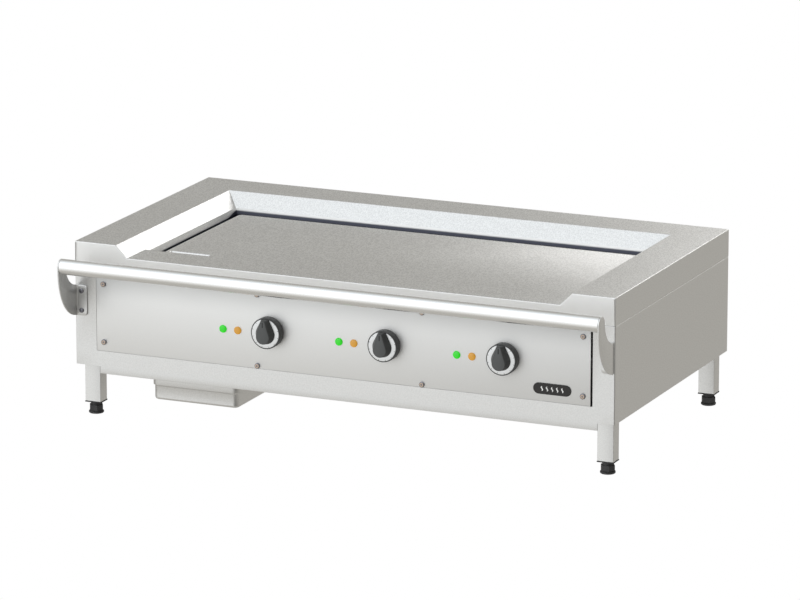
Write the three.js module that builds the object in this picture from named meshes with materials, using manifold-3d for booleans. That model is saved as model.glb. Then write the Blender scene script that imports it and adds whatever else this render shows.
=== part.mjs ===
// Flat top griddle: an electric counter griddle with three heating zones.
// Millimetres. X runs left to right, Y front to back, Z up from the floor.
// The origin is on the floor, under the middle of the overall width and depth.

import * as THREE from 'three';
import { mergeVertices } from 'three/addons/utils/BufferGeometryUtils.js';
import Module from 'manifold-3d';

const wasm = await Module();
wasm.setup();

// ---------------------------------------------------------------- dimensions

// Overall
const WIDTH = 1200; // cabinet, left to right
const DEPTH = 640; // cabinet, front to back
const HEIGHT = 372; // floor to the top of the rim
const FIT = 0.3; // gap between pieces that touch
const OVERCUT = 5; // how far a cutting tool stands out of what it cuts

// Top frame
const FRAME_DROP = 58; // height of the outer skirt
const FRAME_SHEET = 3;
const FRAME_CORNER = 1.5; // upright corners
const FRAME_EDGE = 2; // rounding of the top edge
const RIM = 94; // flat rim at the left, right and back
const BASIN = 25.7; // cooking surface below the rim, down a 45 degree slope
const SLOPE_DIP = 4; // the slope ends this far below the cooking surface
const LAND = 84.5; // level strip in front of the griddle plate
const GUTTER_DROP = 8; // gutter floor below the plate's underside
const GUTTER_LEFT = 29; // gutter width beside the plate
const GUTTER_RIGHT = 3; // on the right the plate runs up to the wall
const GUTTER_BACK = 54; // gutter width behind the plate
const LEDGE_SIDE = 47; // how far the gutter floor reaches under the plate
const LEDGE_FRONT = 27;
const LEDGE_BACK = 22;
const LEDGE_LIP = 3; // upturned lip that carries the plate

// Griddle plate
const PLATE_THICK = 20;
const PLATE_ROLL = 18; // rounding of the left and back edges
const PLATE_ROLL_RIGHT = 2; // and of the right edge
const PLATE_CORNER = 20;
const NOTCH_WIDTH = 87; // drain notch in the front edge, near the left corner
const NOTCH_DEPTH = 12;
const NOTCH_INSET = 22.5; // from the plate's left edge

// Drain
const DRAIN_WIDTH = 80;
const DRAIN_DEPTH = 16;
const DRAIN_FRONT = 3; // from the end of the land to the drain hole
const CHUTE_WALL = 1.5;

// Cabinet
const SHEET = 2;
const CABINET_CORNER = 3;
const CABINET_SHOULDER = 2; // rounding of the top edge
const CABINET_FLANGE = 24; // inward flange along the top
const LEG_LENGTH = 83.1;
const REAR_RECESS = 25; // rear cover set in from the back edge

// Control panel and the opening that it fills
const PANEL_SIDE = 48; // cabinet front left standing at each side
const PANEL_FOOT = 33; // and below
const PANEL_HEAD = 66; // rim top to the top of the opening
const PANEL_GAP = 0.5; // at the left, bottom and top
const PANEL_GAP_RIGHT = 4.5;
const BACKING_LAP = 22; // backing strips behind the top and bottom edges
const BACKING_INSET = 3; // backing strips stop short of the opening's sides

// Controls on the panel
const ZONES = 3;
const ZONE_PITCH = 260;
const FIRST_KNOB = -158; // x of the first knob
const KNOB_SIZE = 65;
const KNOB_SKIRT = 19;
const KNOB_GRIP = 14;
const KNOB_GAP = 1; // knob off the panel
const KNOB_EDGE = 2;
const GRIP_BASE = { radius: 21.7, centre: -0.6, tipHalf: 9.5 }; // the grip where it meets the skirt
const GRIP_FACE = { radius: 13.6, centre: -5, tipHalf: 4.6 }; // and at its face
const GRIP_FACE_EDGE = 1.2; // softening of the face's edge
const SPINDLE = 6;
const SPINDLE_OUT = 15; // spindle in front of the panel, inside the knob
const SPINDLE_IN = 25; // and behind
const BUSHING = 10;
const THERMOSTAT = [42, 32, 44]; // across, deep, high
const LAMP_OFFSETS = { green: -104.5, amber: -71.3 }; // from the zone's knob
const LAMP_DROP = 5; // lamps below the knob's axis
const LAMP_DOME = 16.5;
const LAMP_HEIGHT = 3.5;
const LAMP_BARREL = 9.4;
const LAMP_LENGTH = 26;
const LAMP_NUT = 15;
const BADGE = [82, 23, 1];
const BADGE_RIGHT = 134.5; // cabinet side to the badge's centre
const BADGE_RISE = 59.7; // cabinet bottom to the badge's centre

// Fasteners
const SCREW_HEAD = 11.5;
const SCREW_HEAD_HEIGHT = 3;
const SCREW_SHANK = 4.4;
const SCREW_LENGTH = 10;
const SCREW_CORNER = [16.3, 19]; // corner screws, in from the panel's edges
const SCREW_MIDDLE = [183.3, 5.5]; // middle screws: from the centre, from the edge
const BOLT_HEAD = 10.5;
const BOLT_HEAD_HEIGHT = 3.5;
const BOLT_SHANK = 5.4;
const BOLT_LENGTH = 14;

// Hand rail and its brackets
const RAIL = 32;
const RAIL_WALL = 1.5;
const RAIL_REACH = 85; // rail and brackets in front of the cabinet
const RAIL_DROP = 38.5; // rim top to the rail's axis
const BRACKET_SHEET = 3;
const BRACKET_INSET = 2; // from the cabinet's side
const BRACKET_FOOT = [157, 91]; // rim top down to the foot's lower and upper ends
const BRACKET_FLANGE = 26; // inward flange, across
const BRACKET_BEND = 6;
const BRACKET_BOLTS = [104, 145.4]; // rim top down to the bolts
const BRACKET_BOLT_IN = 15.9; // cabinet side to the bolts

// Stand
const LEG = [35, 30];
const LEG_WALL = 2;
const LEG_SIDE_INSET = 10;
const LEG_END_INSET = 20;
const BAR = [20, 21]; // crossbar, deep and high
const FOOT_HEIGHT = 27.4; // floor to the leg's end
const INSERT_FLANGE = 2.5;
const INSERT_LIP = 0.8; // flange proud of the leg
const INSERT_PLUG = 18;
const FOOT_STUD = 8;
const FOOT_STUD_TOP = 70;
const FOOT_DISC = [31.6, 5];
const FOOT_HEX = [30.5, 13.3]; // across corners, high
const FOOT_NECK = 23;

// Heating
const ELEMENT_TUBE = 8;
const ELEMENT_LEGS = 4;
const ELEMENT_PITCH = 70; // between the legs of one element
const ELEMENT_END = 16; // from the ledge's lips to the element
const ELEMENT_TAIL = 52; // terminals below the element
const ELEMENT_BEND = 14;
const ELEMENT_ZONE = 270; // between the zones under the plate
const INSULATION = 28;
const SHIELD_SHEET = 1.5;
const SHIELD_FLANGE = 20;
const TERMINAL_HOLE = 38;

// Grease pan and its cradle
const PAN_BODY = [193, 323.4]; // across and deep, below the collar
const PAN_STEP = 3.3; // collar wider than the body, all round
const PAN_LEFT = 147; // cabinet side to the pan's body
const PAN_FRONT = 61.3; // cabinet front to the pan's body
const PAN_BOTTOM = 34.5; // above the floor
const PAN_COLLAR = 66; // height where the collar starts
const PAN_TOP_GAP = 2.2; // below the crossbar
const PAN_WALL = 1.5;
const PAN_CORNER = 11.5;
const PAN_FLANGE = 8;
const RUNNER_SHEET = 2;
const RUNNER_FRONT = 95; // cabinet front to the runners
const RUNNER_FLANGE = 15;
const RUNNER_STOP = 20; // height of the bar behind the pan
const RUNNER_TAIL = 8; // runners behind the face of that bar

// Vents and gland
const VENT = [44, 5];
const VENT_PITCH = 64;
const REAR_VENTS = 14;
const BASE_VENTS = 8;
const VENT_RISE = 0.6; // share of the rear cover's height below its lower vents
const GLAND_BODY = 24;
const GLAND_STEM = 18;
const GLAND_BORE = 10;
const GLAND_SIDE = 110; // cabinet side to the gland
const GLAND_RISE = 45; // cabinet bottom to the gland

// Values worked out from the ones above
const SIDE = WIDTH / 2;
const FRONT = -(DEPTH - RAIL_REACH) / 2;
const BACK = FRONT + DEPTH;
const SEAM = HEIGHT - FRAME_DROP; // top frame meets the cabinet
const BODY_BOTTOM = FOOT_HEIGHT + LEG_LENGTH;
const COOKING = HEIGHT - BASIN; // cooking surface
const GUTTER_WALL_X = SIDE - RIM - BASIN - SLOPE_DIP;
const GUTTER_WALL_Y = BACK - RIM - BASIN - SLOPE_DIP;
const LAND_END = FRONT + LAND;
const PLATE_X = GUTTER_WALL_X - GUTTER_LEFT; // left edge of the plate, from the middle
const PLATE_RIGHT = GUTTER_WALL_X - GUTTER_RIGHT;
const PLATE_BACK = GUTTER_WALL_Y - GUTTER_BACK;
const PLATE_UNDER = COOKING - PLATE_THICK;
const GUTTER_FLOOR = PLATE_UNDER - GUTTER_DROP;
const TOP_UNDER = Math.min(SEAM, GUTTER_FLOOR - FRAME_SHEET) - OVERCUT; // below all of the top
const LEDGE_X = PLATE_X - LEDGE_SIDE; // opening inside the lips
const LEDGE_Y0 = LAND_END + LEDGE_FRONT;
const LEDGE_Y1 = PLATE_BACK - LEDGE_BACK;
const NOTCH_X0 = -PLATE_X + NOTCH_INSET;
const DRAIN_X = NOTCH_X0 + NOTCH_WIDTH / 2;
const DRAIN_Y = LAND_END + DRAIN_FRONT + DRAIN_DEPTH / 2;
const OPENING_X = SIDE - PANEL_SIDE;
const OPENING_Z0 = BODY_BOTTOM + PANEL_FOOT;
const OPENING_Z1 = HEIGHT - PANEL_HEAD;
const PANEL_X0 = -OPENING_X + PANEL_GAP;
const PANEL_X1 = OPENING_X - PANEL_GAP_RIGHT;
const PANEL_Z0 = OPENING_Z0 + PANEL_GAP;
const PANEL_Z1 = OPENING_Z1 - PANEL_GAP;
const PANEL_SHEET = SHEET - FIT;
const KNOB_Z = (PANEL_Z0 + PANEL_Z1) / 2;
const RAIL_Y = FRONT - RAIL_REACH + RAIL / 2;
const RAIL_Z = HEIGHT - RAIL_DROP;
const LEG_X = SIDE - LEG_SIDE_INSET - LEG[0] / 2;
const LEG_Y = [FRONT + LEG_END_INSET + LEG[1] / 2, BACK - LEG_END_INSET - LEG[1] / 2];
const BAR_BOTTOM = BODY_BOTTOM - FIT - BAR[1];
const PAN_X = -SIDE + PAN_LEFT + PAN_BODY[0] / 2;
const PAN_Y = FRONT + PAN_FRONT + PAN_BODY[1] / 2;
const PAN_TOP = BAR_BOTTOM - PAN_TOP_GAP;
const SHIELD_TOP = GUTTER_FLOOR - FRAME_SHEET - FIT;
const SHIELD_Y = [LEDGE_Y0 + LEDGE_LIP, LEDGE_Y1 - LEDGE_LIP];
const ELEMENT_Z = PLATE_UNDER - FIT - ELEMENT_TUBE / 2;
const INSULATION_TOP = ELEMENT_Z - ELEMENT_TUBE / 2 - FIT;
const SHIELD_FLOOR = INSULATION_TOP - INSULATION - FIT;

// ----------------------------------------------------------------- materials

// One finish for each sub-part, made fresh so that no two meshes share it.
const finishes = {
  satinSteel: [0xc9cac6, 0.34, 1],
  plateSteel: [0xb0afa9, 0.42, 1],
  darkSteel: [0x6d6f76, 0.4, 1],
  zincSheet: [0xa9adb0, 0.5, 1],
  blackPlastic: [0x2a2a2a, 0.5, 0],
  blackPaint: [0x302e2c, 0.45, 0],
  greenLens: [0x22d41a, 0.25, 0],
  amberLens: [0xe0a030, 0.25, 0],
  ceramic: [0xe6dfd0, 0.9, 0],
  mineralWool: [0xd8d2c0, 0.95, 0],
  elementSheath: [0x4a4744, 0.55, 1],
};

function finish(name) {
  const [color, roughness, metalness] = finishes[name];
  return new THREE.MeshStandardMaterial({ name, color, roughness, metalness });
}

// ------------------------------------------------------------ solid geometry

// A closed mesh with its shared corners merged, as a solid.
function toSolid(geometry) {
  const bare = geometry.clone();
  bare.deleteAttribute('normal');
  bare.deleteAttribute('uv');
  const merged = mergeVertices(bare, 1e-4);
  return new wasm.Manifold(new wasm.Mesh({
    numProp: 3,
    vertProperties: new Float32Array(merged.attributes.position.array),
    triVerts: new Uint32Array(merged.index.array),
  }));
}

function toGeometry(solid) {
  const mesh = solid.getMesh();
  const geometry = new THREE.BufferGeometry();
  geometry.setAttribute('position', new THREE.BufferAttribute(mesh.vertProperties, 3));
  geometry.setIndex(new THREE.BufferAttribute(mesh.triVerts, 1));
  geometry.computeVertexNormals();
  return geometry;
}

function cut(body, ...tools) {
  return toGeometry(tools.reduce((left, tool) => left.subtract(toSolid(tool)), toSolid(body)));
}

function join(body, ...others) {
  return toGeometry(others.reduce((sum, other) => sum.add(toSolid(other)), toSolid(body)));
}

// A box between two corners.
function box(x0, x1, y0, y1, z0, z1) {
  const geometry = new THREE.BoxGeometry(x1 - x0, y1 - y0, z1 - z0);
  return geometry.translate((x0 + x1) / 2, (y0 + y1) / 2, (z0 + z1) / 2);
}

// Rounded rectangle between two corners, anticlockwise from its lower right arc.
// `radii` is one radius, or four: lower right, upper right, upper left, lower left.
function roundedOutline(x0, x1, y0, y1, radii, steps = 4) {
  const [lowerRight, upperRight, upperLeft, lowerLeft] = [radii].flat().length === 4
    ? radii : [radii, radii, radii, radii];
  const corners = [
    [x1 - lowerRight, y0 + lowerRight, lowerRight, -Math.PI / 2],
    [x1 - upperRight, y1 - upperRight, upperRight, 0],
    [x0 + upperLeft, y1 - upperLeft, upperLeft, Math.PI / 2],
    [x0 + lowerLeft, y0 + lowerLeft, lowerLeft, Math.PI],
  ];
  const points = [];
  for (const [cx, cy, radius, start] of corners) {
    for (let i = 0; i <= steps; i++) {
      const angle = start + (i / steps) * (Math.PI / 2);
      points.push(new THREE.Vector2(cx + radius * Math.cos(angle), cy + radius * Math.sin(angle)));
    }
  }
  return points;
}

// Outlines with the same number of points, stacked from low to high and skinned.
function loft(levels) {
  const count = levels[0].outline.length;
  const positions = levels.flatMap(({ z, outline }) => outline.flatMap((p) => [p.x, p.y, z]));
  const index = [];
  for (let level = 0; level + 1 < levels.length; level++) {
    for (let i = 0; i < count; i++) {
      const a = level * count + i;
      const b = level * count + ((i + 1) % count);
      index.push(a, b, b + count, a, b + count, a + count);
    }
  }
  const last = (levels.length - 1) * count;
  for (const [a, b, c] of THREE.ShapeUtils.triangulateShape(levels[0].outline, [])) {
    index.push(c, b, a);
  }
  for (const [a, b, c] of THREE.ShapeUtils.triangulateShape(levels.at(-1).outline, [])) {
    index.push(last + a, last + b, last + c);
  }
  const geometry = new THREE.BufferGeometry();
  geometry.setAttribute('position', new THREE.Float32BufferAttribute(positions, 3));
  geometry.setIndex(index);
  geometry.computeVertexNormals();
  return geometry;
}

// A round bar or hole, from `start` to `end` along X, Y or Z, about a centre line.
function rod(axis, diameter, centre, start, end, sides = 16) {
  const geometry = new THREE.CylinderGeometry(diameter / 2, diameter / 2, end - start, sides);
  geometry.translate(0, (start + end) / 2, 0);
  if (axis === 'x') geometry.rotateZ(-Math.PI / 2).translate(0, centre[0], centre[1]);
  if (axis === 'y') geometry.translate(centre[0], 0, centre[1]);
  if (axis === 'z') geometry.rotateX(Math.PI / 2).translate(centre[0], centre[1], 0);
  return geometry;
}

// A turned piece whose profile [radius, height] stands on Z, or points out of the
// front of the cabinet (towards -Y).
function turned(profile, direction, sides = 28) {
  const points = profile.map(([radius, height]) => new THREE.Vector2(radius, height));
  const geometry = new THREE.LatheGeometry(points, sides);
  return direction === 'up' ? geometry.rotateX(Math.PI / 2) : geometry.rotateX(Math.PI);
}

// The quarter turns of a rounding: [inset, rise] from the straight side to the top.
function rounding(radius, steps) {
  const turns = [];
  for (let i = 0; i <= steps; i++) {
    const angle = (i / steps) * (Math.PI / 2);
    turns.push([radius * (1 - Math.cos(angle)), radius * Math.sin(angle)]);
  }
  return turns;
}

function piece(name, finishName, geometry, position = [0, 0, 0]) {
  const mesh = new THREE.Mesh(geometry, finish(finishName));
  mesh.name = name;
  mesh.position.set(...position);
  return mesh;
}

// -------------------------------------------------------------- top and plate

// Half width and back line of the sunken basin at height z: a 45 degree slope.
function basinOutline(z, front, grow = 0) {
  const fall = HEIGHT - z;
  const half = SIDE - RIM - fall + grow;
  return roundedOutline(-half, half, front, BACK - RIM - fall + grow, 0, 1);
}

// The well below the cooking surface that holds the gutters, grown by a sheet.
function gutterWell(grow) {
  const knee = COOKING - SLOPE_DIP - grow * Math.tan(Math.PI / 8);
  const front = LAND_END - grow;
  const wall = GUTTER_WALL_X + grow;
  const well = roundedOutline(-wall, wall, front, GUTTER_WALL_Y + grow, 0, 1);
  const top = COOKING + (grow ? -FRAME_SHEET : FIT);
  return loft([
    { z: GUTTER_FLOOR - grow, outline: well },
    { z: knee, outline: well },
    { z: top, outline: basinOutline(top, front, grow * Math.SQRT2) },
  ]);
}

// The whole top: rim, slopes, front land, gutters, and the ledge that carries the plate.
function wholeTop() {
  const levels = [{ z: SEAM, outline: roundedOutline(-SIDE, SIDE, FRONT, BACK, FRAME_CORNER, 2) }];
  for (const [inset, rise] of rounding(FRAME_EDGE, 3)) {
    const corner = Math.max(FRAME_CORNER - inset / 2, FRAME_CORNER / 4);
    levels.push({
      z: HEIGHT - FRAME_EDGE + rise,
      outline: roundedOutline(-SIDE + inset, SIDE - inset, FRONT + inset, BACK - inset, corner, 2),
    });
  }
  const through = FRONT - OVERCUT;
  const basin = loft([COOKING, HEIGHT + OVERCUT].map((z) => ({ z, outline: basinOutline(z, through) })));
  const skin = FRAME_SHEET * Math.SQRT2;
  const basinSkin = loft([COOKING - FRAME_SHEET, HEIGHT].map((z) => ({
    z, outline: basinOutline(z, through, skin),
  })));
  const inside = box(
    -SIDE + FRAME_SHEET, SIDE - FRAME_SHEET, FRONT + FRAME_SHEET, BACK - FRAME_SHEET,
    SEAM - OVERCUT, HEIGHT - FRAME_SHEET,
  );
  const wellSkin = gutterWell(FRAME_SHEET);
  const hollow = cut(inside, basinSkin, wellSkin);
  const shell = cut(join(cut(loft(levels), hollow), wellSkin), basin, gutterWell(0));
  const lip = box(
    -LEDGE_X - LEDGE_LIP, LEDGE_X + LEDGE_LIP, LEDGE_Y0 - LEDGE_LIP, LEDGE_Y1 + LEDGE_LIP,
    GUTTER_FLOOR - FRAME_SHEET, PLATE_UNDER - FIT,
  );
  const opening = box(-LEDGE_X, LEDGE_X, LEDGE_Y0, LEDGE_Y1, TOP_UNDER, COOKING);
  const drain = drainBox(0, TOP_UNDER, GUTTER_FLOOR + OVERCUT);
  return cut(join(shell, lip), opening, drain);
}

// The top is welded up from five folded parts: two sides and a back that meet in
// mitres, the land in front, and the gutter floor with the lips under the plate.
function topParts() {
  const whole = toSolid(wholeTop());
  const out = SIDE + OVERCUT;
  const front = FRONT - OVERCUT;
  const foot = SIDE - RIM - BASIN;
  const wall = GUTTER_WALL_X - FIT;
  const wallEnd = GUTTER_WALL_Y - FIT;
  const start = LAND_END + FIT;
  const corner = SIDE - GUTTER_WALL_X + FIT;
  // Side part in plan, for the right: out to the mitre, which runs in from the corner.
  const side = (sign) => [
    [out, front], [out, BACK + OVERCUT - FIT], [SIDE - corner, BACK - corner - FIT],
    [wall, start], [foot + FIT, start], [foot + FIT, front],
  ].map(([x, y]) => [sign * x, y]);
  const back = [
    [out, BACK + OVERCUT], [-out, BACK + OVERCUT], [-wall, wallEnd], [wall, wallEnd],
  ];
  const land = [[-foot, front], [foot, front], [foot, LAND_END], [-foot, LAND_END]];
  const floor = [[-wall, start], [wall, start], [wall, wallEnd - FIT], [-wall, wallEnd - FIT]];
  const parts = {
    top_left: side(-1), top_right: side(1), top_back: back, front_land: land, gutter_floor: floor,
  };
  return Object.entries(parts).map(([name, outline]) => (
    piece(name, 'satinSteel', toGeometry(whole.intersect(prism(outline, TOP_UNDER, HEIGHT + OVERCUT))))
  ));
}

// An upright prism over a plan outline, as a solid.
function prism(outline, z0, z1) {
  const plan = new THREE.Shape(outline.map(([x, y]) => new THREE.Vector2(x, y)));
  const upright = new THREE.ExtrudeGeometry(plan, { depth: z1 - z0, bevelEnabled: false });
  return toSolid(upright.translate(0, 0, z0));
}

// The upright block of the drain passage, grown at its sides.
function drainBox(grow, z0, z1) {
  const halfX = DRAIN_WIDTH / 2 + grow;
  const halfY = DRAIN_DEPTH / 2 + grow;
  return box(DRAIN_X - halfX, DRAIN_X + halfX, DRAIN_Y - halfY, DRAIN_Y + halfY, z0, z1);
}

// Thick steel plate with rolled left and back edges and a drain notch.
function griddlePlate() {
  const outline = (inset) => {
    const back = PLATE_CORNER - inset;
    const right = PLATE_RIGHT - inset * (PLATE_ROLL_RIGHT / PLATE_ROLL);
    return roundedOutline(-PLATE_X + inset, right, LAND_END + FIT, PLATE_BACK - inset, [0, back, back, 0], 4);
  };
  const levels = [{ z: PLATE_UNDER, outline: outline(0) }];
  for (const [inset, rise] of rounding(PLATE_ROLL, 6)) {
    levels.push({ z: COOKING - PLATE_ROLL + rise, outline: outline(inset) });
  }
  const notch = box(
    NOTCH_X0, NOTCH_X0 + NOTCH_WIDTH, LAND_END - OVERCUT, LAND_END + NOTCH_DEPTH,
    PLATE_UNDER - OVERCUT, COOKING + OVERCUT,
  );
  return piece('griddle_plate', 'plateSteel', cut(loft(levels), notch));
}

// Rectangular pipe from the gutter floor down to just above the grease pan.
function drainChute() {
  const top = GUTTER_FLOOR - FRAME_SHEET - FIT;
  const bottom = PAN_TOP + PAN_TOP_GAP;
  const pipe = drainBox(CHUTE_WALL, bottom, top);
  const bore = drainBox(0, bottom - OVERCUT, top + OVERCUT);
  return piece('drain_chute', 'satinSteel', cut(pipe, bore));
}

// ------------------------------------------------------------------- cabinet

// Panel screws: [x, z] at the four corners and two on each long edge.
function panelScrewPlaces() {
  const centre = (PANEL_X0 + PANEL_X1) / 2;
  const places = [];
  for (const side of [-1, 1]) {
    for (const [edge, inward] of [[PANEL_Z0, 1], [PANEL_Z1, -1]]) {
      const outer = side < 0 ? PANEL_X0 : PANEL_X1;
      places.push([outer - side * SCREW_CORNER[0], edge + inward * SCREW_CORNER[1]]);
      places.push([centre + side * SCREW_MIDDLE[0], edge + inward * SCREW_MIDDLE[1]]);
    }
  }
  return places;
}

// Bracket bolts: [x, z], two at each side.
function bracketBoltPlaces() {
  const x = SIDE - BRACKET_BOLT_IN;
  return [-x, x].flatMap((side) => BRACKET_BOLTS.map((drop) => [side, HEIGHT - drop]));
}

// Wrapped sheet: front, sides and top flange, open below and behind.
function cabinetShell() {
  const top = SEAM - FIT;
  const corner = CABINET_CORNER;
  const levels = [{ z: BODY_BOTTOM, outline: roundedOutline(-SIDE, SIDE, FRONT, BACK, corner) }];
  for (const [inset, rise] of rounding(CABINET_SHOULDER, 3)) {
    levels.push({
      z: top - CABINET_SHOULDER + rise,
      outline: roundedOutline(-SIDE + inset, SIDE - inset, FRONT + inset, BACK - inset, corner - inset),
    });
  }
  const inside = box(
    -SIDE + SHEET, SIDE - SHEET, FRONT + SHEET, BACK + OVERCUT, BODY_BOTTOM - OVERCUT, top - SHEET,
  );
  const mouth = box(
    -SIDE + CABINET_FLANGE, SIDE - CABINET_FLANGE, FRONT + CABINET_FLANGE, BACK - CABINET_FLANGE,
    BODY_BOTTOM, top + OVERCUT,
  );
  const opening = box(-OPENING_X, OPENING_X, FRONT - OVERCUT, FRONT + SHEET + FIT, OPENING_Z0, OPENING_Z1);
  const shell = cut(loft(levels), inside, mouth, opening);
  const backing = (z0, z1) => box(
    -OPENING_X + BACKING_INSET, PANEL_X1 - BACKING_INSET, FRONT + SHEET, FRONT + 2 * SHEET, z0, z1,
  );
  const lower = backing(OPENING_Z0 - BACKING_LAP, OPENING_Z0 + BACKING_LAP + FIT);
  const upper = backing(OPENING_Z1 - BACKING_LAP - FIT, top - SHEET / 2);
  const holes = [
    ...panelScrewPlaces().map((at) => frontHole(SCREW_SHANK + 2 * FIT, at)),
    ...bracketBoltPlaces().map((at) => frontHole(BOLT_SHANK + 2 * FIT, at)),
  ];
  return piece('cabinet_shell', 'satinSteel', cut(join(shell, lower, upper), ...holes));
}

// A round hole through the cabinet's front.
function frontHole(diameter, at) {
  return rod('y', diameter, at, FRONT - OVERCUT, FRONT + 2 * SHEET + OVERCUT, 12);
}

// Flat sheet that closes the cabinet from below.
function basePlate() {
  const x = SIDE - SHEET - FIT;
  const sheet = box(-x, x, FRONT + SHEET + FIT, BACK - SHEET, BODY_BOTTOM, BODY_BOTTOM + SHEET);
  const chute = drainBox(CHUTE_WALL + FIT, 0, HEIGHT);
  const vents = ventRow(BASE_VENTS, (cx) => box(
    cx - VENT[0] / 2, cx + VENT[0] / 2, -VENT[1] / 2, VENT[1] / 2, 0, BODY_BOTTOM + OVERCUT,
  ));
  return piece('base_plate', 'satinSteel', cut(sheet, chute, ...vents));
}

// A centred row of vent slots; `slot` makes one at the given x.
function ventRow(count, slot) {
  return Array.from({ length: count }, (_, i) => slot((i - (count - 1) / 2) * VENT_PITCH));
}

// Recessed back panel with two rows of vents and a hole for the gland.
function rearCover() {
  const x = SIDE - SHEET - FIT;
  const outer = BACK - REAR_RECESS;
  const z0 = BODY_BOTTOM + SHEET + FIT;
  const z1 = SEAM - FIT - SHEET - FIT;
  const sheet = box(-x, x, outer - SHEET, outer, z0, z1);
  const row = (z) => ventRow(REAR_VENTS, (cx) => box(
    cx - VENT[0] / 2, cx + VENT[0] / 2, outer - OVERCUT, outer + OVERCUT, z - VENT[1] / 2, z + VENT[1] / 2,
  ));
  const gland = rod('y', GLAND_STEM + 2 * FIT, glandPlace(), outer - OVERCUT, outer + OVERCUT);
  const low = z0 + (z1 - z0) * VENT_RISE;
  return piece('rear_cover', 'satinSteel', cut(sheet, ...row(low), ...row(low + 4 * VENT[1]), gland));
}

function glandPlace() {
  return [SIDE - GLAND_SIDE, BODY_BOTTOM + GLAND_RISE];
}

// Cable gland: threaded stem through the rear cover, nut inside, cap outside.
function cableGland() {
  const outer = BACK - REAR_RECESS;
  const stem = GLAND_STEM / 2;
  const bore = GLAND_BORE / 2;
  const cap = GLAND_BODY / 2;
  const profile = [
    [bore, -REAR_RECESS + 2], [cap * 0.7, -REAR_RECESS + 2], [cap * 0.9, -REAR_RECESS + 6],
    [cap * 0.9, -10], [cap, -10], [cap, -FIT], [stem, -FIT], [stem, SHEET + FIT],
    [cap, SHEET + FIT], [cap, SHEET + 6], [stem, SHEET + 6], [stem, SHEET + 12],
    [bore, SHEET + 12], [bore, -REAR_RECESS + 2],
  ];
  const [x, z] = glandPlace();
  return piece('cable_gland', 'blackPlastic', turned(profile, 'out', 14), [x, outer, z]);
}

// ------------------------------------------------------------- control panel

function knobPlaces() {
  return Array.from({ length: ZONES }, (_, zone) => FIRST_KNOB + zone * ZONE_PITCH);
}

// Flat sheet, flush with the cabinet's front, drilled for everything it carries.
function controlPanel() {
  const sheet = box(PANEL_X0, PANEL_X1, FRONT, FRONT + PANEL_SHEET, PANEL_Z0, PANEL_Z1);
  const holes = panelScrewPlaces().map((at) => frontHole(SCREW_SHANK + 2 * FIT, at));
  for (const x of knobPlaces()) {
    holes.push(frontHole(BUSHING + 2 * FIT, [x, KNOB_Z]));
    for (const offset of Object.values(LAMP_OFFSETS)) {
      holes.push(frontHole(LAMP_BARREL + 2 * FIT, [x + offset, KNOB_Z - LAMP_DROP]));
    }
  }
  return piece('control_panel', 'satinSteel', cut(sheet, ...holes));
}

function panelScrews() {
  const head = SCREW_HEAD / 2;
  const shank = SCREW_SHANK / 2;
  const recess = head * 0.3;
  const profile = [
    [0, -SCREW_LENGTH], [shank, -SCREW_LENGTH], [shank, FIT], [head, FIT],
    [head, SCREW_HEAD_HEIGHT - 1], [head - 1, SCREW_HEAD_HEIGHT], [recess, SCREW_HEAD_HEIGHT],
    [recess, SCREW_HEAD_HEIGHT / 2], [0, SCREW_HEAD_HEIGHT / 2],
  ];
  return panelScrewPlaces().map(([x, z], i) => (
    piece(`panel_screw_${i + 1}`, 'darkSteel', turned(profile, 'out', 10), [x, FRONT, z])
  ));
}

// Outline of the knob's grip: a round bottom that narrows to a pointer.
function gripOutline(shape, tip, grow = 0) {
  const radius = shape.radius + grow;
  const tipHalf = shape.tipHalf + grow / 2;
  const lean = Math.asin((radius - tipHalf) / (tip - shape.centre));
  const points = [];
  const steps = 14;
  for (let i = 0; i <= steps; i++) {
    const angle = Math.PI - lean + (i / steps) * (Math.PI + 2 * lean);
    points.push(new THREE.Vector2(radius * Math.cos(angle), shape.centre + radius * Math.sin(angle)));
  }
  points.push(new THREE.Vector2(tipHalf, tip), new THREE.Vector2(-tipHalf, tip));
  return points;
}

// Round black skirt with a pear-shaped grip, moulded onto its spindle.
function knobGeometry() {
  const radius = KNOB_SIZE / 2;
  const skirtTop = KNOB_GAP + KNOB_SKIRT;
  const face = skirtTop + KNOB_GRIP;
  const tip = radius - KNOB_EDGE;
  const skirt = turned([
    [0, KNOB_GAP], [radius, KNOB_GAP], [radius, skirtTop - KNOB_EDGE],
    [radius - 0.3 * KNOB_EDGE, skirtTop - 0.3 * KNOB_EDGE], [radius - KNOB_EDGE, skirtTop], [0, skirtTop],
  ], 'out', 32);
  const grip = loft([
    { z: skirtTop - 1, outline: gripOutline(GRIP_BASE, tip) },
    { z: face - GRIP_FACE_EDGE, outline: gripOutline(GRIP_FACE, tip - GRIP_FACE_EDGE, GRIP_FACE_EDGE) },
    { z: face, outline: gripOutline(GRIP_FACE, tip - 2 * GRIP_FACE_EDGE) },
  ]).rotateX(Math.PI / 2);
  const spindle = rod('y', SPINDLE, [0, 0], -SPINDLE_OUT, SPINDLE_IN, 12);
  return join(skirt, grip, spindle);
}

function controls() {
  const pieces = [];
  knobPlaces().forEach((x, i) => {
    const zone = i + 1;
    pieces.push(piece(`knob_${zone}`, 'blackPlastic', knobGeometry(), [x, FRONT, KNOB_Z]));
    pieces.push(piece(`thermostat_${zone}`, 'ceramic', thermostatGeometry(), [x, FRONT, KNOB_Z]));
    for (const [colour, offset] of Object.entries(LAMP_OFFSETS)) {
      const place = [x + offset, FRONT, KNOB_Z - LAMP_DROP];
      pieces.push(piece(`lamp_${colour}_${zone}`, `${colour}Lens`, lampGeometry(), place));
    }
  });
  return pieces;
}

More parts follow.
